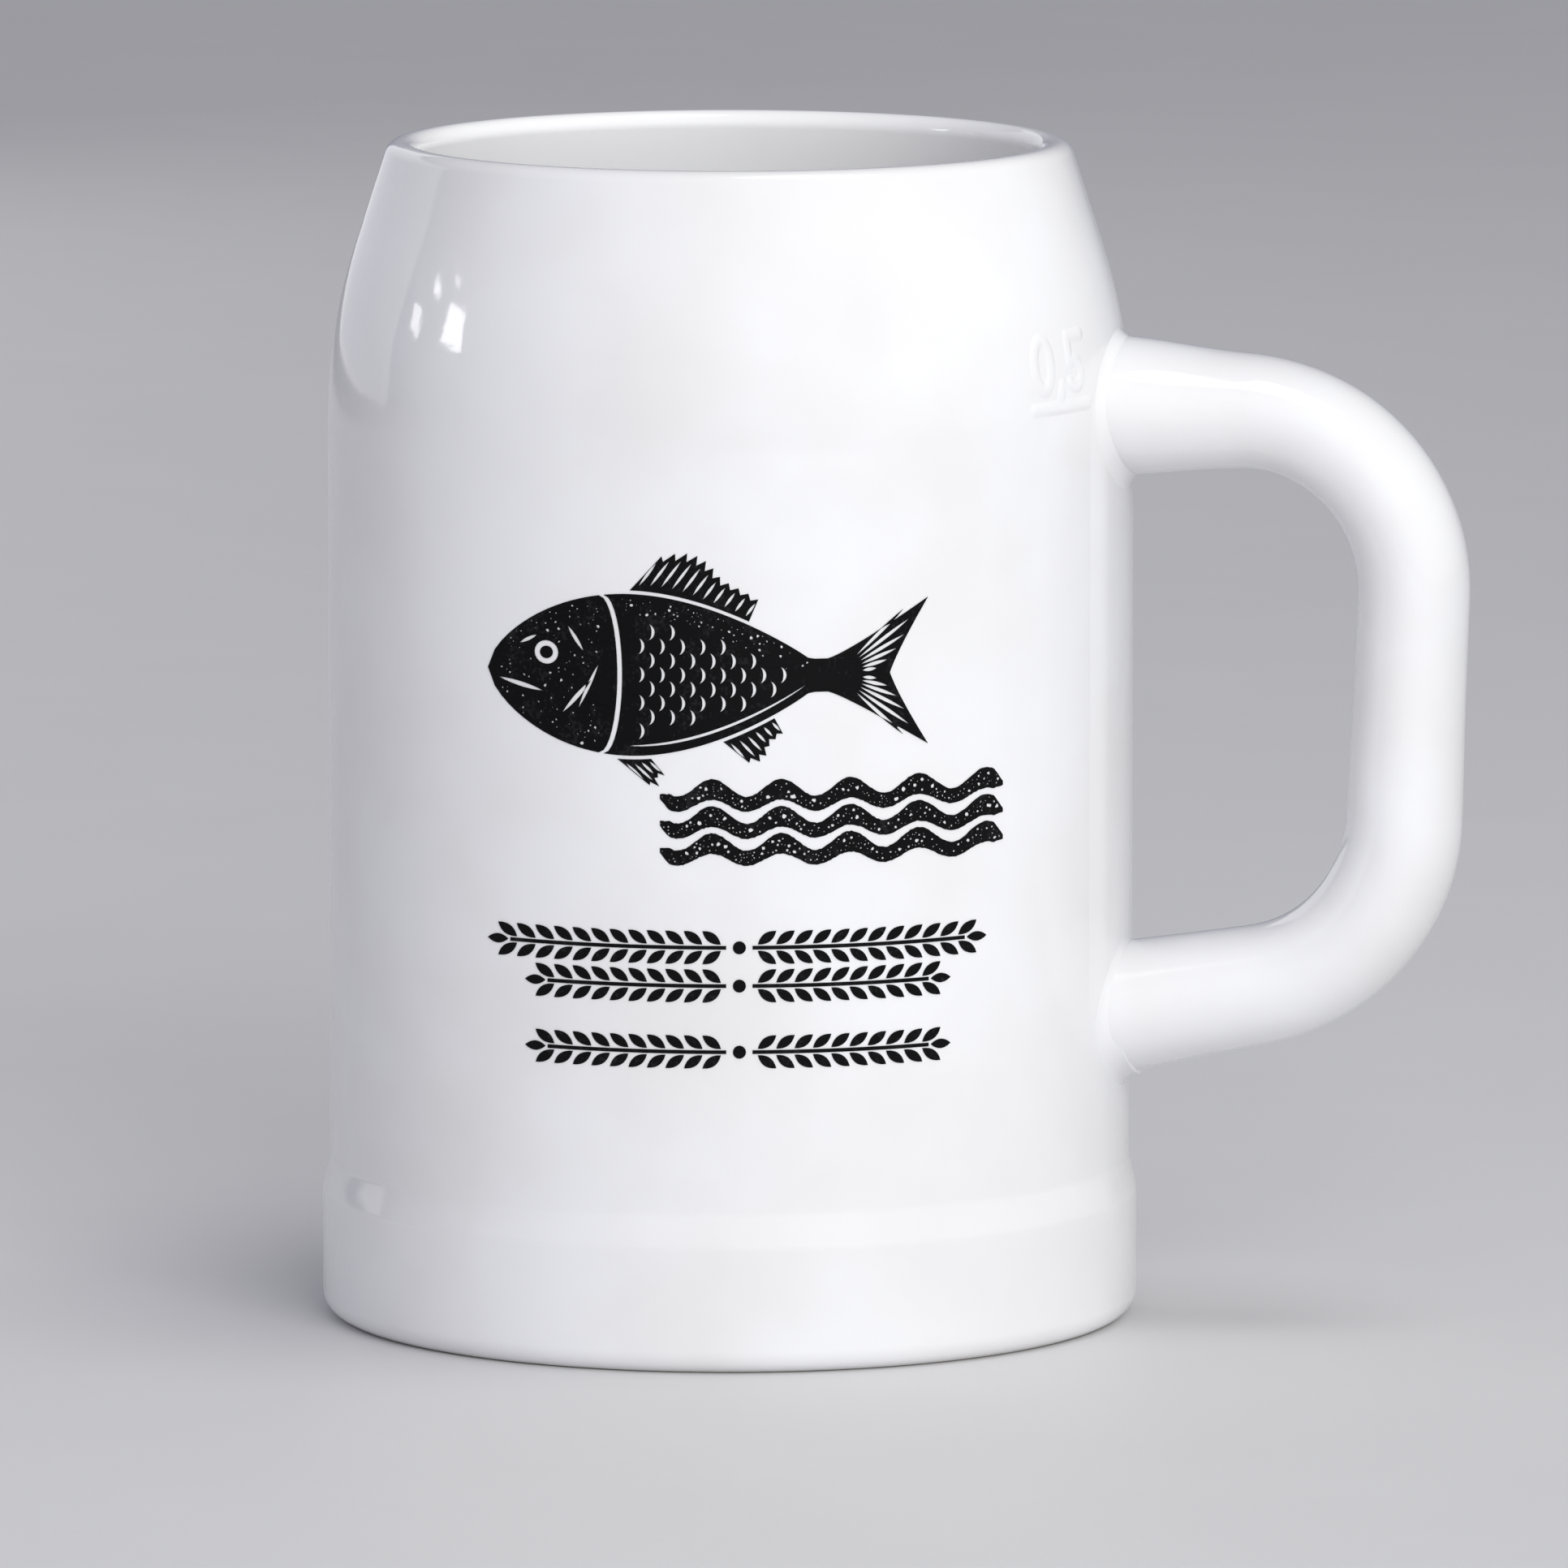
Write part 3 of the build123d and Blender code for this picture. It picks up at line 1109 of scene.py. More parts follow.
@dataclass
class InkFilm:
    """A flat printed pattern, laid on the wall as a thin film of ink."""

    name: str
    vessel: Vessel
    azimuth: float
    shift: Point
    film: float = 0.07 * MM
    slice_width: float = 1.6 * MM
    smallest: float = 0.004 * MM
    loops: list[Loop] = field(default_factory=list)

    def leaf(self, root: Point, length: float, width: float, angle: float, steps: int = 7) -> Loop:
        """A pointed leaf shape.

        Args:
            root: Where it starts.
            length: From end to end.
            width: Across its middle.
            angle: Its direction in degrees, 0 along +X.
            steps: Points along each side.

        Returns:
            The closed outline.
        """
        cos, sin = math.cos(math.radians(angle)), math.sin(math.radians(angle))
        sides = [(s / steps, 1) for s in range(steps)] + [(1 - s / steps, -1) for s in range(steps)]
        outline: Loop = []
        for share, side in sides:
            x = length * share
            y = side * width / 2 * math.sin(math.pi * share) ** 0.85 if 0 < share < 1 else 0.0
            outline.append((root[0] + x * cos - y * sin, root[1] + x * sin + y * cos))
        return outline

    def sheet(self) -> bpy.types.Object:
        """Fills the outlines as a flat curve and makes it a mesh.

        Returns:
            The flat sheet, with across as X and up as Y.
        """
        clear_selection()
        bpy.ops.curve.primitive_bezier_circle_add(radius=1)
        piece = bpy.context.object
        piece.name = self.name
        curve = piece.data
        curve.splines.clear()
        curve.dimensions = "2D"
        curve.fill_mode = "BOTH"
        for loop in self.loops:
            spline = curve.splines.new("POLY")
            spline.points.add(len(loop) - 1)
            for point, (across, up) in zip(spline.points, loop):
                point.co = ((across + self.shift[0]) * MM, (up + self.shift[1]) * MM, 0, 1)
            spline.use_cyclic_u = True
        pick(piece)
        bpy.ops.object.convert(target="MESH")
        return piece

    def slice_up(self, piece: bpy.types.Object) -> None:
        """Cuts a flat sheet into narrow upright slices, so that it can follow the round wall.

        Args:
            piece: The sheet.
        """
        pick(piece)
        bpy.ops.object.mode_set(mode="EDIT")
        bpy.ops.mesh.select_all(action="SELECT")
        bpy.ops.mesh.remove_doubles(threshold=0.5 * self.smallest)
        places = [v.co.x for v in piece.data.vertices]
        cut = min(places) + self.slice_width
        while cut < max(places):
            bpy.ops.mesh.select_all(action="SELECT")
            bpy.ops.mesh.bisect(plane_co=(cut, 0, 0), plane_no=(1, 0, 0), threshold=self.smallest)
            cut += self.slice_width
        bpy.ops.mesh.select_all(action="SELECT")
        bpy.ops.mesh.remove_doubles(threshold=self.smallest)
        bpy.ops.mesh.dissolve_degenerate(threshold=self.smallest)
        bpy.ops.object.mode_set(mode="OBJECT")

    def build(self) -> bpy.types.Object:
        """Wraps the sliced sheet on the wall and thickens it.

        Returns:
            The printed film.
        """
        piece = self.sheet()
        self.slice_up(piece)
        turn = math.radians(self.azimuth)
        for vertex in piece.data.vertices:
            radius = self.vessel.radius_at(vertex.co.y) + self.film
            angle = turn + math.asin(vertex.co.x / radius)
            vertex.co = (radius * math.cos(angle), radius * math.sin(angle), vertex.co.y)
        piece.data.update()
        add_modifier(piece, "SOLIDIFY", thickness=self.film, offset=0.0, use_rim=True)
        tidy_mesh(piece, 0.00005 * MM)
        shade(piece, 30.0)
        return piece


def ring_of(centre: Point, radius: float, count: int) -> Loop:
    """A circle of evenly spaced points.

    Args:
        centre: Its middle.
        radius: Its radius.
        count: Number of points.

    Returns:
        The closed outline.
    """
    turns = [TURN * step / count for step in range(count)]
    return [(centre[0] + radius * math.cos(turn), centre[1] + radius * math.sin(turn)) for turn in turns]


def speckle(draw: random.Random, centre: Point, size: float) -> Loop:
    """A small uneven spot of five to eight corners.

    Args:
        draw: The seeded source of chance.
        centre: The spot's middle.
        size: Its mean radius.

    Returns:
        The closed outline.
    """
    count = draw.randint(5, 8)
    start = draw.uniform(0, TURN)
    outline: Loop = []
    for step in range(count):
        radius = size * draw.uniform(0.6, 1.35)
        angle = start + TURN * step / count
        outline.append((centre[0] + radius * math.cos(angle), centre[1] + radius * math.sin(angle)))
    return outline


def scatter(
    draw: random.Random,
    tries: int,
    box: tuple[float, float, float, float],
    sizes: Point,
    inside: Callable[[float, float], float],
    gap: float = 0.12,
) -> list[Loop]:
    """Spots scattered over a shape, clear of its edge and of each other.

    Args:
        draw: The seeded source of chance.
        tries: How many places are tried.
        box: Lowest and highest across, lowest and highest up.
        sizes: Smallest and largest mean radius.
        inside: Gives how far inside the shape a place is.
        gap: The least ink left between spots.

    Returns:
        The spots' outlines.
    """
    kept: list[tuple[float, float, float]] = []
    for _ in range(tries):
        size = sizes[0] + (sizes[1] - sizes[0]) * draw.random() ** 2.5
        x, y = draw.uniform(box[0], box[1]), draw.uniform(box[2], box[3])
        reach = 1.35 * size + gap
        if inside(x, y) < reach:
            continue
        if all(math.hypot(x - a, y - b) > 1.35 * (size + other) + gap for a, b, other in kept):
            kept.append((x, y, size))
    return [speckle(draw, (x, y), size) for x, y, size in kept]


def bend(start: Point, control: Point, end: Point, steps: int = 10) -> Loop:
    """Points along a bent line, from its start up to but without its end.

    Args:
        start: Where the line starts.
        control: The corner that the line bends towards.
        end: Where the line ends.
        steps: Number of points.

    Returns:
        The points.
    """
    points: Loop = []
    for step in range(steps):
        t = step / steps
        weights = ((1 - t) ** 2, 2 * t * (1 - t), t**2)
        pulls = list(zip(weights, (start, control, end)))
        points.append(tuple(sum(weight * place[axis] for weight, place in pulls) for axis in (0, 1)))
    return points


@dataclass(frozen=True)
class Fin:
    """A spiked fin: its base along the body, 1 for the back or -1 for the belly, and its spikes."""

    start: float
    end: float
    side: int
    front: float
    rear: float
    lean: float
    spikes: int

    def height(self, share: float) -> float:
        """The height of a full spike.

        Args:
            share: Its place along the base, from 0 to 1.

        Returns:
            The height, fullest towards the front.
        """
        straight = self.front + (self.rear - self.front) * share
        return straight * (0.72 + 0.28 * math.sin(math.pi * min(1, share * 1.6)))


@dataclass
class FishMotif(InkFilm):
    """A dark block-print fish, head to the left, with scales, rays and wear left unprinted.

    Sizes are millimetres on the flat print, and places along the fish are from its middle.
    """

    length: float = 50.0
    depth: float = 18.5
    root_half: float = 1.9
    tail_at: float = 0.77
    tail_spread: float = 8.4
    notch_depth: float = 4.4
    tail_rays: tuple[float, ...] = (1.6, 3.0, 4.4, 5.9, 7.3, 7.4)
    first_ray: float = 7.0
    ray_turn: float = 7.2
    gill_at: float = 12.5
    gill_gap: float = 0.55
    gill_bulge: float = 2.1
    eye_at: Point = (6.6, 2.2)
    eye_radius: float = 1.35
    pupil_radius: float = 0.72
    eye_clear: float = 1.7
    head_lines: tuple[tuple[Point, float, float, float], ...] = (
        ((1.2, -1.0), 5.2, 0.55, -14.0),
        ((8.4, -4.6), 5.0, 0.5, 50.0),
        ((10.2, -4.0), 5.6, 0.42, 66.0),
        ((9.0, 5.4), 3.4, 0.45, -58.0),
        ((3.6, 3.1), 2.2, 0.4, 28.0),
    )
    scale_pitch: Point = (2.3, 1.62)
    scale_radius: float = 0.98
    scale_width: float = 0.36
    scale_rows: range = range(-5, 5)
    back_room: float = 3.4
    belly_room: float = 2.75
    belly_line: float = 1.15
    belly_width: float = 0.17
    fins: tuple[Fin, ...] = (
        Fin(-9.0, 4.5, 1, 5.2, 3.0, 0.75, 11),
        Fin(-10.4, -6.6, -1, 3.4, 2.4, 1.1, 4),
        Fin(1.6, 7.4, -1, 3.2, 2.0, 0.95, 6),
    )
    fin_gap: float = 0.42
    ray_width: float = 0.34
    seed: int = 11

    @property
    def nose(self) -> float:
        """Where the nose is."""
        return -self.length / 2

    @property
    def gill(self) -> float:
        """Where the gill cover meets the back."""
        return self.nose + self.gill_at

    @property
    def tail(self) -> float:
        """Where the tail starts."""
        return self.nose + self.length * self.tail_at

    def half_depth(self, x: float) -> float:
        """Half the body's depth.

        Args:
            x: A place along the fish, from the nose to the root of the tail.

        Returns:
            The distance from the middle line to the back.
        """
        share = min(1.0, max(0.0, (x - self.nose) / (self.tail - self.nose)))
        swell = self.depth / 2 * max(0.0, math.sin(math.pi * share**0.78)) ** 0.78
        return max(swell, self.root_half * smooth_step((share - 0.55) / 0.3))

    def back_line(self, start: float, end: float, steps: int) -> Loop:
        """Points along the back.

        Args:
            start: Where the line starts along the fish.
            end: Where it ends.
            steps: Number of steps between them.

        Returns:
            The points.
        """
        xs = [start + (end - start) * step / steps for step in range(steps + 1)]
        return [(x, self.half_depth(x)) for x in xs]

    def cover(self, at: float, gap: float, degrees: range) -> Loop:
        """The bulging edge of the gill cover, or of the body behind it.

        Args:
            at: Where the edge meets the back.
            gap: How far it stands behind the gill.
            degrees: The turns of its points.

        Returns:
            The points.
        """
        turns = [math.radians(turn) for turn in degrees]
        tall = self.half_depth(at)
        return [(self.gill + self.gill_bulge * math.cos(a) + gap, tall * math.sin(a)) for a in turns]

    def draw_body(self) -> None:
        """The dark shape from gill to tail, with the forked tail and its unprinted rays."""
        start = self.gill + self.gill_gap
        back = self.back_line(start, self.tail, 34)
        tip = (self.length / 2, self.tail_spread)
        notch = (self.length / 2 - self.notch_depth, 0.0)
        upper = bend(back[-1], (self.tail + 2.2, self.root_half + 0.6), tip)
        upper += bend(tip, (notch[0] + 0.9, 2.6), notch)
        lower = [(x, -y) for x, y in reversed(upper)]
        belly = [(x, -y) for x, y in reversed(back)]
        cover = self.cover(start, self.gill_gap, range(-75, 76, 10))
        self.loops.append(back + upper + [notch] + lower + belly + cover)
        for side in (1, -1):
            for ray, reach in enumerate(self.tail_rays):
                angle = self.first_ray + ray * self.ray_turn
                turn = math.radians(angle)
                root = (self.tail + 1.1 + 2.9 * math.cos(turn), side * 3.1 * math.sin(turn))
                self.loops.append(self.leaf(root, reach, 0.42, side * angle))

    def head_room(self, x: float, y: float, lines: list[Loop]) -> float:
        """How much ink lies round a place on the head.

        Args:
            x: The place along the fish.
            y: The place up from its middle line.
            lines: The unprinted lines to keep clear of.

        Returns:
            The distance to the nearest edge, less than 0 off the head or in the eye.
        """
        if math.hypot(x - self.nose - self.eye_at[0], y - self.eye_at[1]) <= self.eye_clear:
            return -1.0
        clear = min(self.half_depth(x) - abs(y) - 0.2, self.gill + 1.2 - x, x - self.nose - 1.2)
        for line in lines:
            clear = min(clear, min(math.hypot(x - a, y - b) for a, b in line) - 0.25)
        return clear

    def draw_head(self, draw: random.Random) -> None:
        """The head, up to the gill cover, with a ringed eye, a mouth line and worn spots.

        Args:
            draw: The seeded source of chance.
        """
        back = self.back_line(self.nose, self.gill, 16)
        cover = self.cover(self.gill, 0.0, range(75, -76, -10))
        self.loops.append(back + cover + [(x, -y) for x, y in reversed(back[1:])])
        eye = (self.nose + self.eye_at[0], self.eye_at[1])
        lines = [ring_of(eye, self.eye_radius, 20)]
        for (along, up), length, width, angle in self.head_lines:
            lines.append(self.leaf((self.nose + along, up), length, width, angle))
        self.loops += lines
        self.loops.append(ring_of(eye, self.pupil_radius, 20))
        box = (self.nose, self.gill, -8, 8)
        self.loops += scatter(draw, 240, box, (0.07, 0.19), lambda x, y: self.head_room(x, y, lines))

    def scale(self, x: float, y: float) -> Loop:
        """One thin crescent, open towards the head.

        Args:
            x: Its centre along the fish.
            y: Its centre up from the middle line.

        Returns:
            The closed outline.
        """
        arc = [math.radians(turn) for turn in range(-72, 73, 18)]
        radius = self.scale_radius
        outer = [(x + radius * math.cos(a), y + radius * math.sin(a)) for a in arc]
        thin = [self.scale_width * math.cos(a * 1.25) for a in arc]
        inner = [
            (x + radius * math.cos(a) - width, y + radius * math.sin(a) * 0.97)
            for a, width in list(zip(arc, thin))[-2:0:-1]
        ]
        return outer + inner

    def flank_room(self, x: float, y: float) -> float:
        """How much ink lies round a place on the dark strip along the back.

        Args:
            x: The place along the fish.
            y: The place up from its middle line.

        Returns:
            The distance to the nearest edge, less than 0 off the strip.
        """
        return min(self.half_depth(x) - y - 0.25, y - self.half_depth(x + 1.2) + 2.5, self.tail - 2 - x)

    def draw_scales(self, draw: random.Random) -> None:
        """Staggered rows of thin unprinted crescents, a belly line, and wear along the dark back.

        Args:
            draw: The seeded source of chance.
        """
        pitch, row_pitch = self.scale_pitch
        for row in self.scale_rows:
            offset = pitch / 2 if row % 2 else 0.0
            for count in range(int((self.tail - self.gill) / pitch)):
                x, y = self.gill + 4.2 + offset + count * pitch, row * row_pitch + 0.1
                room = self.half_depth(x + self.scale_radius) - abs(y)
                if room >= (self.back_room if y > 0 else self.belly_room) and x <= self.tail - 1.8:
                    self.loops.append(self.scale(x, y))
        back = self.back_line(self.gill + 3.4, self.tail - 2.5, 30)
        widths = [self.belly_width * math.sin(math.pi * step / 30) ** 0.5 for step in range(31)]
        above = [(x, -y + self.belly_line + width) for (x, y), width in zip(back, widths)]
        below = [(x, -y + self.belly_line - width) for (x, y), width in zip(back, widths)]
        self.loops.append(above + below[-2:0:-1])
        box = (self.gill + 2.6, self.tail, 0.5, self.depth / 2)
        self.loops += scatter(draw, 420, box, (0.06, 0.2), self.flank_room)

    def fin_place(self, fin: Fin, share: float, out: float) -> Point:
        """A place on a fin.

        Args:
            fin: The fin.
            share: How far along its base, from 0 to 1.
            out: How far up a full spike there, from 0 to 1.

        Returns:
            The place on the print.
        """
        x = fin.start + (fin.end - fin.start) * share
        tall = fin.height(share)
        return x + fin.lean * tall * out, fin.side * (self.half_depth(x) + self.fin_gap + tall * out)

    def draw_fin(self, fin: Fin) -> None:
        """A spiked fin with an unprinted line along each ray.

        Args:
            fin: The fin's place and size.
        """
        foot = [self.fin_place(fin, step / 12, 0.0) for step in range(13)]
        spikes: Loop = []
        for ray in range(fin.spikes):
            spikes.append(self.fin_place(fin, (ray + 0.5) / fin.spikes, 1.0))
            if ray < fin.spikes - 1:
                spikes.append(self.fin_place(fin, (ray + 1) / fin.spikes, 0.80))
        self.loops.append(foot + spikes[::-1])
        for ray in range(fin.spikes):
            root, tip = (self.fin_place(fin, (ray + 0.5) / fin.spikes, out) for out in (0.14, 0.80))
            run = (tip[0] - root[0], tip[1] - root[1])
            angle = math.degrees(math.atan2(run[1], run[0]))
            self.loops.append(self.leaf(root, math.hypot(*run), self.ray_width, angle, 4))

    def draw(self) -> None:
        """Draws the whole fish."""
        source = random.Random(self.seed)
        self.draw_body()
        self.draw_head(source)
        self.draw_scales(source)
        for fin in self.fins:
            self.draw_fin(fin)


@dataclass
class WaveBand(InkFilm):
    """Heavy wavy stripes, worn through in many small spots.

    Sizes are millimetres on the flat print.
    """

    length: float = 39.4
    rows: int = 3
    row_pitch: float = 3.1
    waves: int = 5
    swing: float = 0.85
    thick: float = 2.05
    crest_swell: float = 0.16
    end_share: float = 0.25
    end_length: float = 1.4
    waver: float = 0.05
    spots: int = 1500
    spot_sizes: Point = (0.06, 0.3)
    spot_gap: float = 0.07
    spot_margin: float = 0.06
    slant_share: float = 0.8
    steps: int = 150
    seed: int = 5

    def phase(self, x: float) -> float:
        """The turn of the wave at a place along it."""
        return TURN * self.waves * x / self.length

    def middle(self, row: int) -> float:
        """The height that a stripe waves about."""
        return (row - (self.rows - 1) / 2) * self.row_pitch

    def crest(self, x: float, row: int) -> float:
        """The height of a stripe's middle line at a place along it."""
        return self.middle(row) + self.swing * math.sin(self.phase(x))

    def half_thick(self, x: float) -> float:
        """Half a stripe's thickness, fuller under each crest.

        Args:
            x: The place along the stripe.

        Returns:
            The distance from its middle line to its edge.
        """
        taper = min(1.0, self.end_share + (self.length / 2 - abs(x)) / self.end_length)
        return self.thick / 2 * (1 + self.crest_swell * math.sin(self.phase(x))) * taper

    def edge(self, draw: random.Random, xs: Sequence[float], row: int, side: int) -> Loop:
        """One slightly uneven edge of a stripe.

        Args:
            draw: The seeded source of chance.
            xs: The places of its points along the stripe.
            row: The stripe, counted from below.
            side: 1 for the upper edge, -1 for the lower.

        Returns:
            The points.
        """
        edge = []
        for x in xs:
            height = self.crest(x, row) + side * self.half_thick(x)
            edge.append((x, height + draw.uniform(-self.waver, self.waver)))
        return edge

    def room(self, x: float, y: float, row: int) -> float:
        """How much ink lies round a place on a stripe.

        Args:
            x: The place along the stripe.
            y: The place up the print.
            row: The stripe, counted from below.

        Returns:
            The distance to its edge, less than 0 off the stripe.
        """
        return (self.half_thick(x) - abs(y - self.crest(x, row))) * self.slant_share - self.spot_margin

    def draw(self) -> None:
        """Draws the stripes and wears them."""
        source = random.Random(self.seed)
        half = self.length / 2
        xs = [self.length * step / self.steps - half for step in range(self.steps + 1)]
        reach = self.swing + self.thick
        for row in range(self.rows):
            upper = self.edge(source, xs, row, 1)
            self.loops.append(upper + self.edge(source, xs[::-1], row, -1))
            box = (-half, half, self.middle(row) - reach, self.middle(row) + reach)
            room = partial(self.room, row=row)
            self.loops += scatter(source, self.spots, box, self.spot_sizes, room, self.spot_gap)


@dataclass
class Garlands(InkFilm):
    """Three rows of leaves on a stem, the two halves of each row pointing outwards.

    Sizes are millimetres on the flat print.
    """

    lengths: tuple[float, ...] = (57.0, 50.4, 47.2)
    heights: tuple[float, ...] = (49.2, 44.8, 37.2)
    leaf_length: float = 2.6
    leaf_width: float = 1.1
    leaf_gap: float = 0.16
    bud_length: float = 2.3
    pitch: float = 2.1
    tilt: float = 36.0
    stem: float = 0.42
    stem_tail: float = 0.35
    bud_gap: float = 0.25
    middle_gap: float = 1.5
    berry: float = 0.75
    berry_points: int = 16

    def half_row(self, side: int, pairs: int, height: float) -> None:
        """Draws one half of a row: the stem, its leaves and its end bud.

        Args:
            side: 1 for the right half, -1 for the left.
            pairs: Number of pairs of leaves.
            height: The row's height.
        """
        reach = (pairs + self.stem_tail) * self.pitch
        inner, outer = side * self.middle_gap, side * reach
        low, high = height - self.stem / 2, height + self.stem / 2
        self.loops.append([(inner, low), (outer, low), (outer, high), (inner, high)])
        forward = 0.0 if side > 0 else 180.0
        for pair in range(1, pairs + 1):
            for over in (-1, 1):
                root = (side * pair * self.pitch, height + over * (self.stem / 2 + self.leaf_gap))
                angle = forward + side * over * self.tilt
                self.loops.append(self.leaf(root, self.leaf_length, self.leaf_width, angle))
        bud = (side * (reach + self.bud_gap), height)
        self.loops.append(self.leaf(bud, self.bud_length, self.leaf_width, forward))

    def draw(self) -> None:
        """Draws every row, with a berry between its halves."""
        for length, height in zip(self.lengths, self.heights):
            pairs = int((length / 2 - self.leaf_length) / self.pitch)
            for side in (-1, 1):
                self.half_row(side, pairs, height)
            self.loops.append(ring_of((0.0, height), self.berry, self.berry_points))


# ---- Studio -----------------------------------------------------------------------------------


@dataclass(frozen=True)
class Softbox:
    """A soft area light that shines at the stein; one that isn't mirrored stays out of reflections."""

    name: str
    azimuth: float
    distance: float
    height: float
    size: Point
    power: float
    mirrored: bool = True


@dataclass
class Studio:
    """The pale floor, the soft lights and the camera."""

    azimuth: float = 9.6
    distance: float = 1.900
    camera_height: float = 0.3161
    pitch: float = 7.625
    yaw: float = 0.192
    lens: float = 378.1
    sensor: float = 36.0
    half_floor: float = 3.0
    bright_azimuth: float = 60.0
    bright_rise: float = 0.45
    bright_spread: Point = (-0.5, 0.8)
    bright_side: Colour = (0.62, 0.62, 0.62)
    dim_side: Colour = (0.185, 0.185, 0.25)
    aim_height: float = 0.1
    softboxes: tuple[Softbox, ...] = (
        Softbox("high_softbox", 62.0, 0.30, 1.15, (0.45, 0.45), 2.2),
        Softbox("side_panel", -142.0, 1.2, 0.36, (1.3, 0.62), 1.8),
        Softbox("key_softbox", 20.0, 1.5, 0.62, (0.9, 0.9), 14.4, mirrored=False),
        Softbox("window_pane_wide", -88.0, 0.9, 0.290, (0.125, 0.10), 0.30),
        Softbox("window_pane_narrow", -105.0, 0.9, 0.256, (0.06, 0.055), 0.055),
        Softbox("window_pane_upper", -99.5, 0.9, 0.345, (0.05, 0.022), 0.025),
        Softbox("window_pane_top", -92.0, 0.9, 0.392, (0.05, 0.012), 0.012),
    )

    def place(self, azimuth: float, distance: float, height: float) -> Vector:
        """A place round the stein.

        Args:
            azimuth: Degrees from the front, towards the handle.
            distance: From the stein's axis.
            height: Above the floor.

        Returns:
            The place.
        """
        angle = math.radians(azimuth + self.azimuth)
        return Vector((distance * math.sin(angle), -distance * math.cos(angle), height))

    def floor(self, material: bpy.types.Material) -> None:
        """A wide plain floor, which fills the view behind the stein.

        Args:
            material: Its material.
        """
        clear_selection()
        bpy.ops.mesh.primitive_plane_add(size=2 * self.half_floor, location=(0, 0, 0))
        floor = bpy.context.object
        floor.name = "studio_floor"
        floor.data.materials.append(material)

    def lamp(self, softbox: Softbox) -> None:
        """Sets up one softbox.

        Args:
            softbox: The light's place, size and power.
        """
        clear_selection()
        place = self.place(softbox.azimuth, softbox.distance, softbox.height)
        bpy.ops.object.light_add(type="AREA", location=place)
        lamp = bpy.context.object
        lamp.name = softbox.name
        lamp.data.shape = "RECTANGLE"
        lamp.data.size, lamp.data.size_y = softbox.size
        lamp.data.energy = softbox.power
        aim = Vector((0, 0, self.aim_height))
        lamp.rotation_euler = (aim - place).to_track_quat("-Z", "Y").to_euler()
        lamp.visible_glossy = softbox.mirrored

    def room(self) -> None:
        """A room that is brightest towards the front right and falls off softly to the left and back."""
        world = bpy.data.worlds.new("studio")
        bpy.context.scene.world = world
        world.use_nodes = True
        board = NodeBoard(world.node_tree)
        background = world.node_tree.nodes["Background"]
        toward = board.add("ShaderNodeVectorMath", operation="DOT_PRODUCT")
        board.join(board.add("ShaderNodeTexCoord").outputs["Generated"], toward.inputs[0])
        toward.inputs[1].default_value = self.place(self.bright_azimuth, 1.0, self.bright_rise).normalized()
        share = board.ramp(toward.outputs["Value"], *self.bright_spread)
        board.join(board.mix(share, self.dim_side, self.bright_side), background.inputs["Color"])

    def camera(self) -> None:
        """The camera, a long way off with a long lens, a little above the rim."""
        clear_selection()
        turn = math.radians(self.azimuth - self.yaw)
        bpy.ops.object.camera_add(
            location=self.place(0, self.distance, self.camera_height),
            rotation=(math.radians(90 - self.pitch), 0, turn),
        )
        camera = bpy.context.object
        camera.data.sensor_width = self.sensor
        camera.data.lens = self.lens
        camera.data.clip_end = 20.0
        bpy.context.scene.camera = camera

    def build(self) -> None:
        """Sets up the whole studio, with plain display of its light."""
        bpy.context.scene.view_settings.view_transform = "Standard"
        self.floor(StudioFloor().make())
        self.room()
        for softbox in self.softboxes:
            self.lamp(softbox)
        self.camera()


# ---- Assembly ---------------------------------------------------------------------------------


def middle_z(node: str) -> float:
    """Middle height of a CAD node."""
    low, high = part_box(node)
    return (low.z + high.z) / 2


def build_clay(vessel: Vessel, glaze: bpy.types.Material) -> None:
    """Builds and dresses everything that is made of clay.

    Args:
        vessel: The vessel's sizes.
        glaze: The material of every clay piece.
    """
    finish_piece(vessel.build(), glaze, Slot.GLAZE, "body")
    mark = CapacityMark(vessel, fill_z=vessel.height - FILL_BELOW_RIM)
    finish_piece(mark.build(), glaze, Slot.GLAZE)
    low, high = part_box("handle_strap")
    strap = BackingStrap(vessel, high.x, low.z, high.z)
    finish_piece(strap.build(), glaze, Slot.GLAZE, "handle_strap")
    upper_z, lower_z = middle_z("slip_seam_upper"), middle_z("slip_seam_lower")
    handle = Handle(strap.face, upper_z, lower_z)
    finish_piece(handle.build(), glaze, Slot.GLAZE, "handle")
    for seam, node in zip(handle.seams(strap), ("slip_seam_upper", "slip_seam_lower")):
        finish_piece(seam.build(), glaze, Slot.GLAZE, node)


def build_prints(vessel: Vessel, ink: bpy.types.Material) -> None:
    """Builds and dresses the printed films.

    Args:
        vessel: The vessel that they lie on.
        ink: Their material.
    """
    prints = {
        "print_motif": FishMotif("fish_print", vessel, PRINT_AZIMUTH, (-3.4, 80.3)),
        "print_banner": WaveBand("wave_print", vessel, PRINT_AZIMUTH, (10.7, 63.4)),
        "print_garlands": Garlands("garland_print", vessel, PRINT_AZIMUTH, (0.0, 0.0)),
    }
    for node, film in prints.items():
        film.draw()
        finish_piece(film.build(), ink, Slot.INK, node)


def main() -> None:
    """Builds the stein round its frame, dresses it and sets it in the studio."""
    logging.basicConfig(level=logging.INFO, format="%(message)s")
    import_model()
    body_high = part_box("body")[1]
    vessel = Vessel(height=body_high.z, foot_radius=body_high.y)
    build_clay(vessel, WhiteGlaze(lip_z=vessel.height).make())
    build_prints(vessel, DecalInk().make())
    Studio().build()


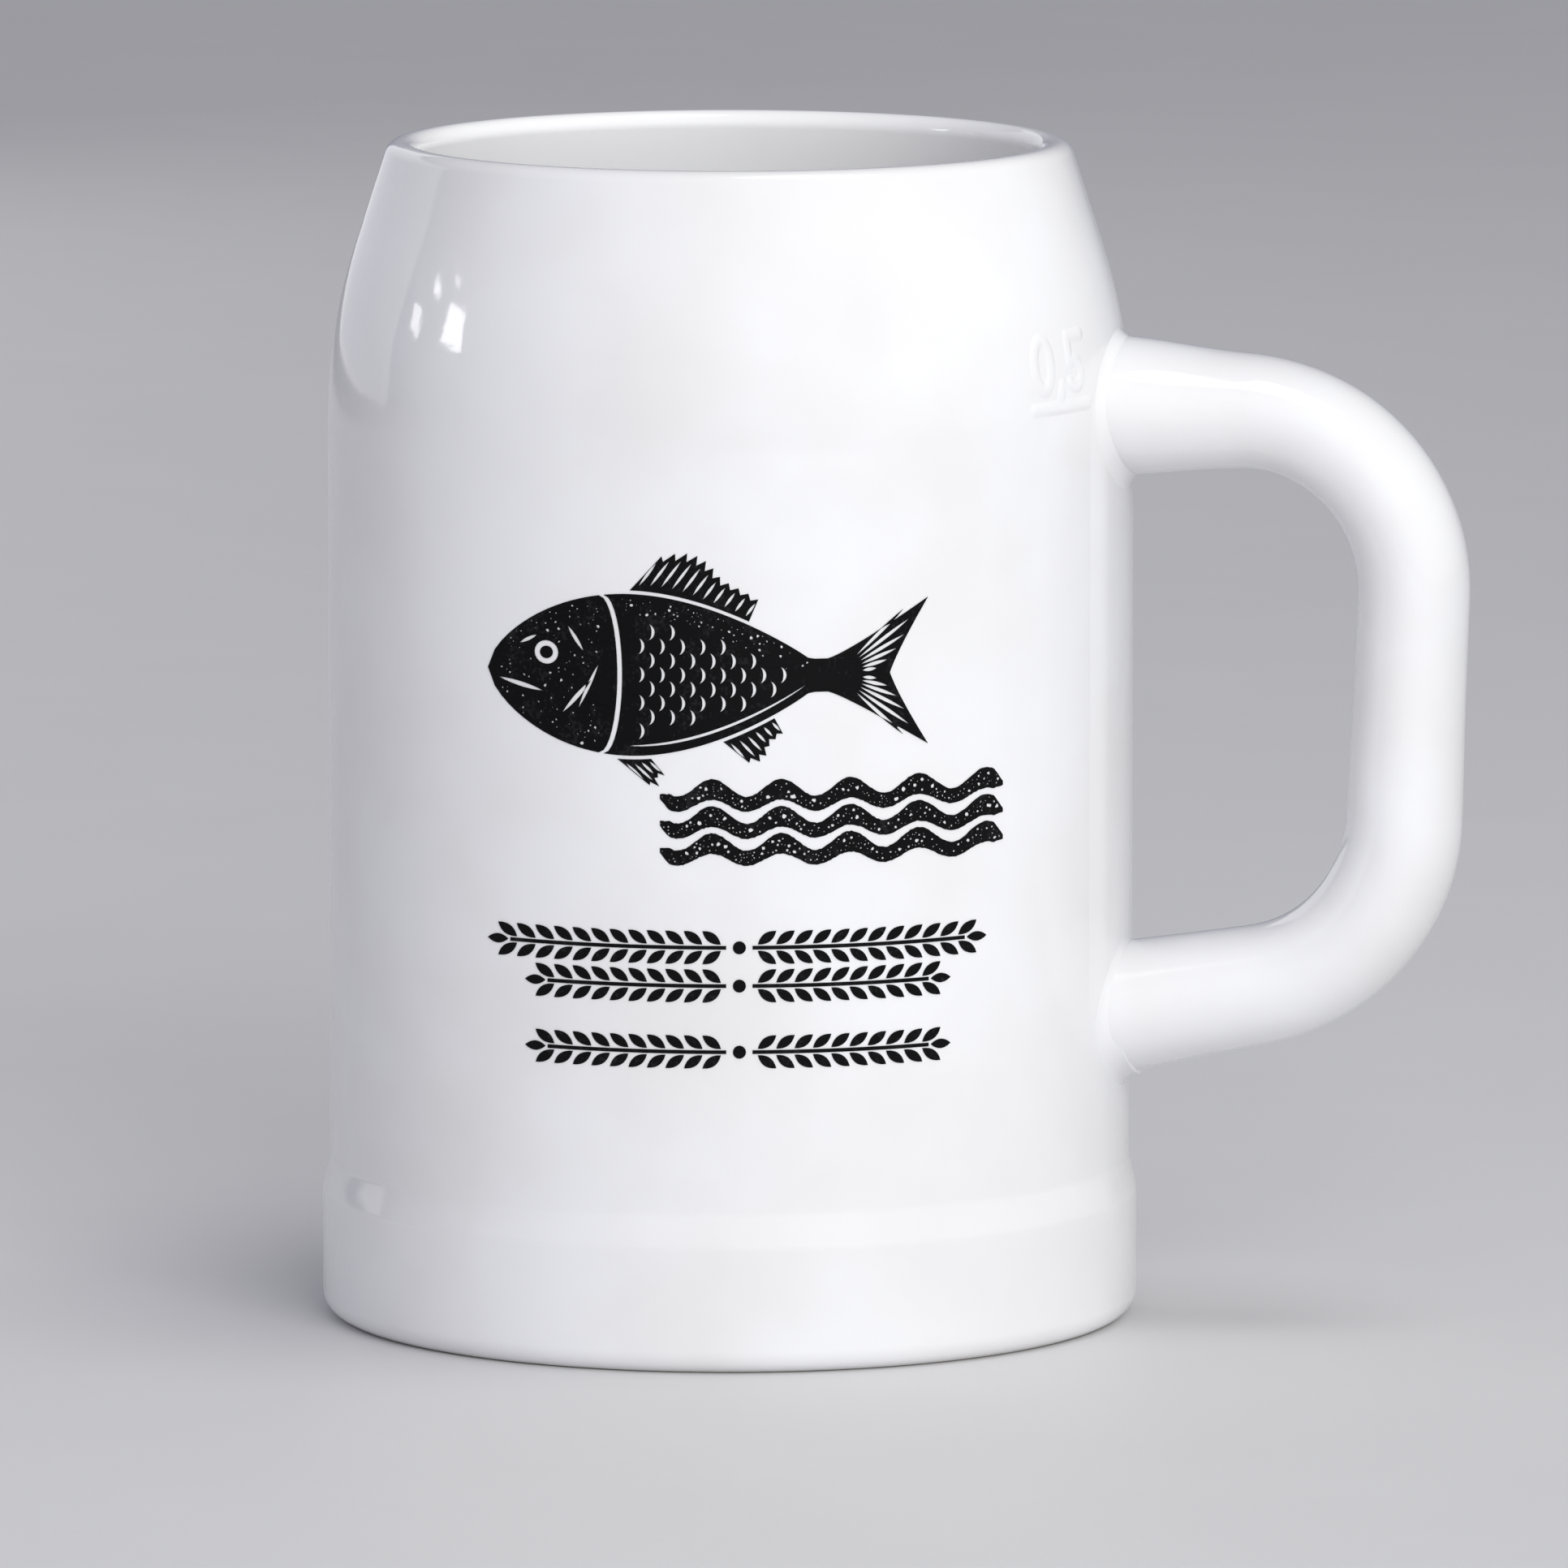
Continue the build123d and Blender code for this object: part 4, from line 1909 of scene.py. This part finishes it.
if __name__ == "__main__":
    main()
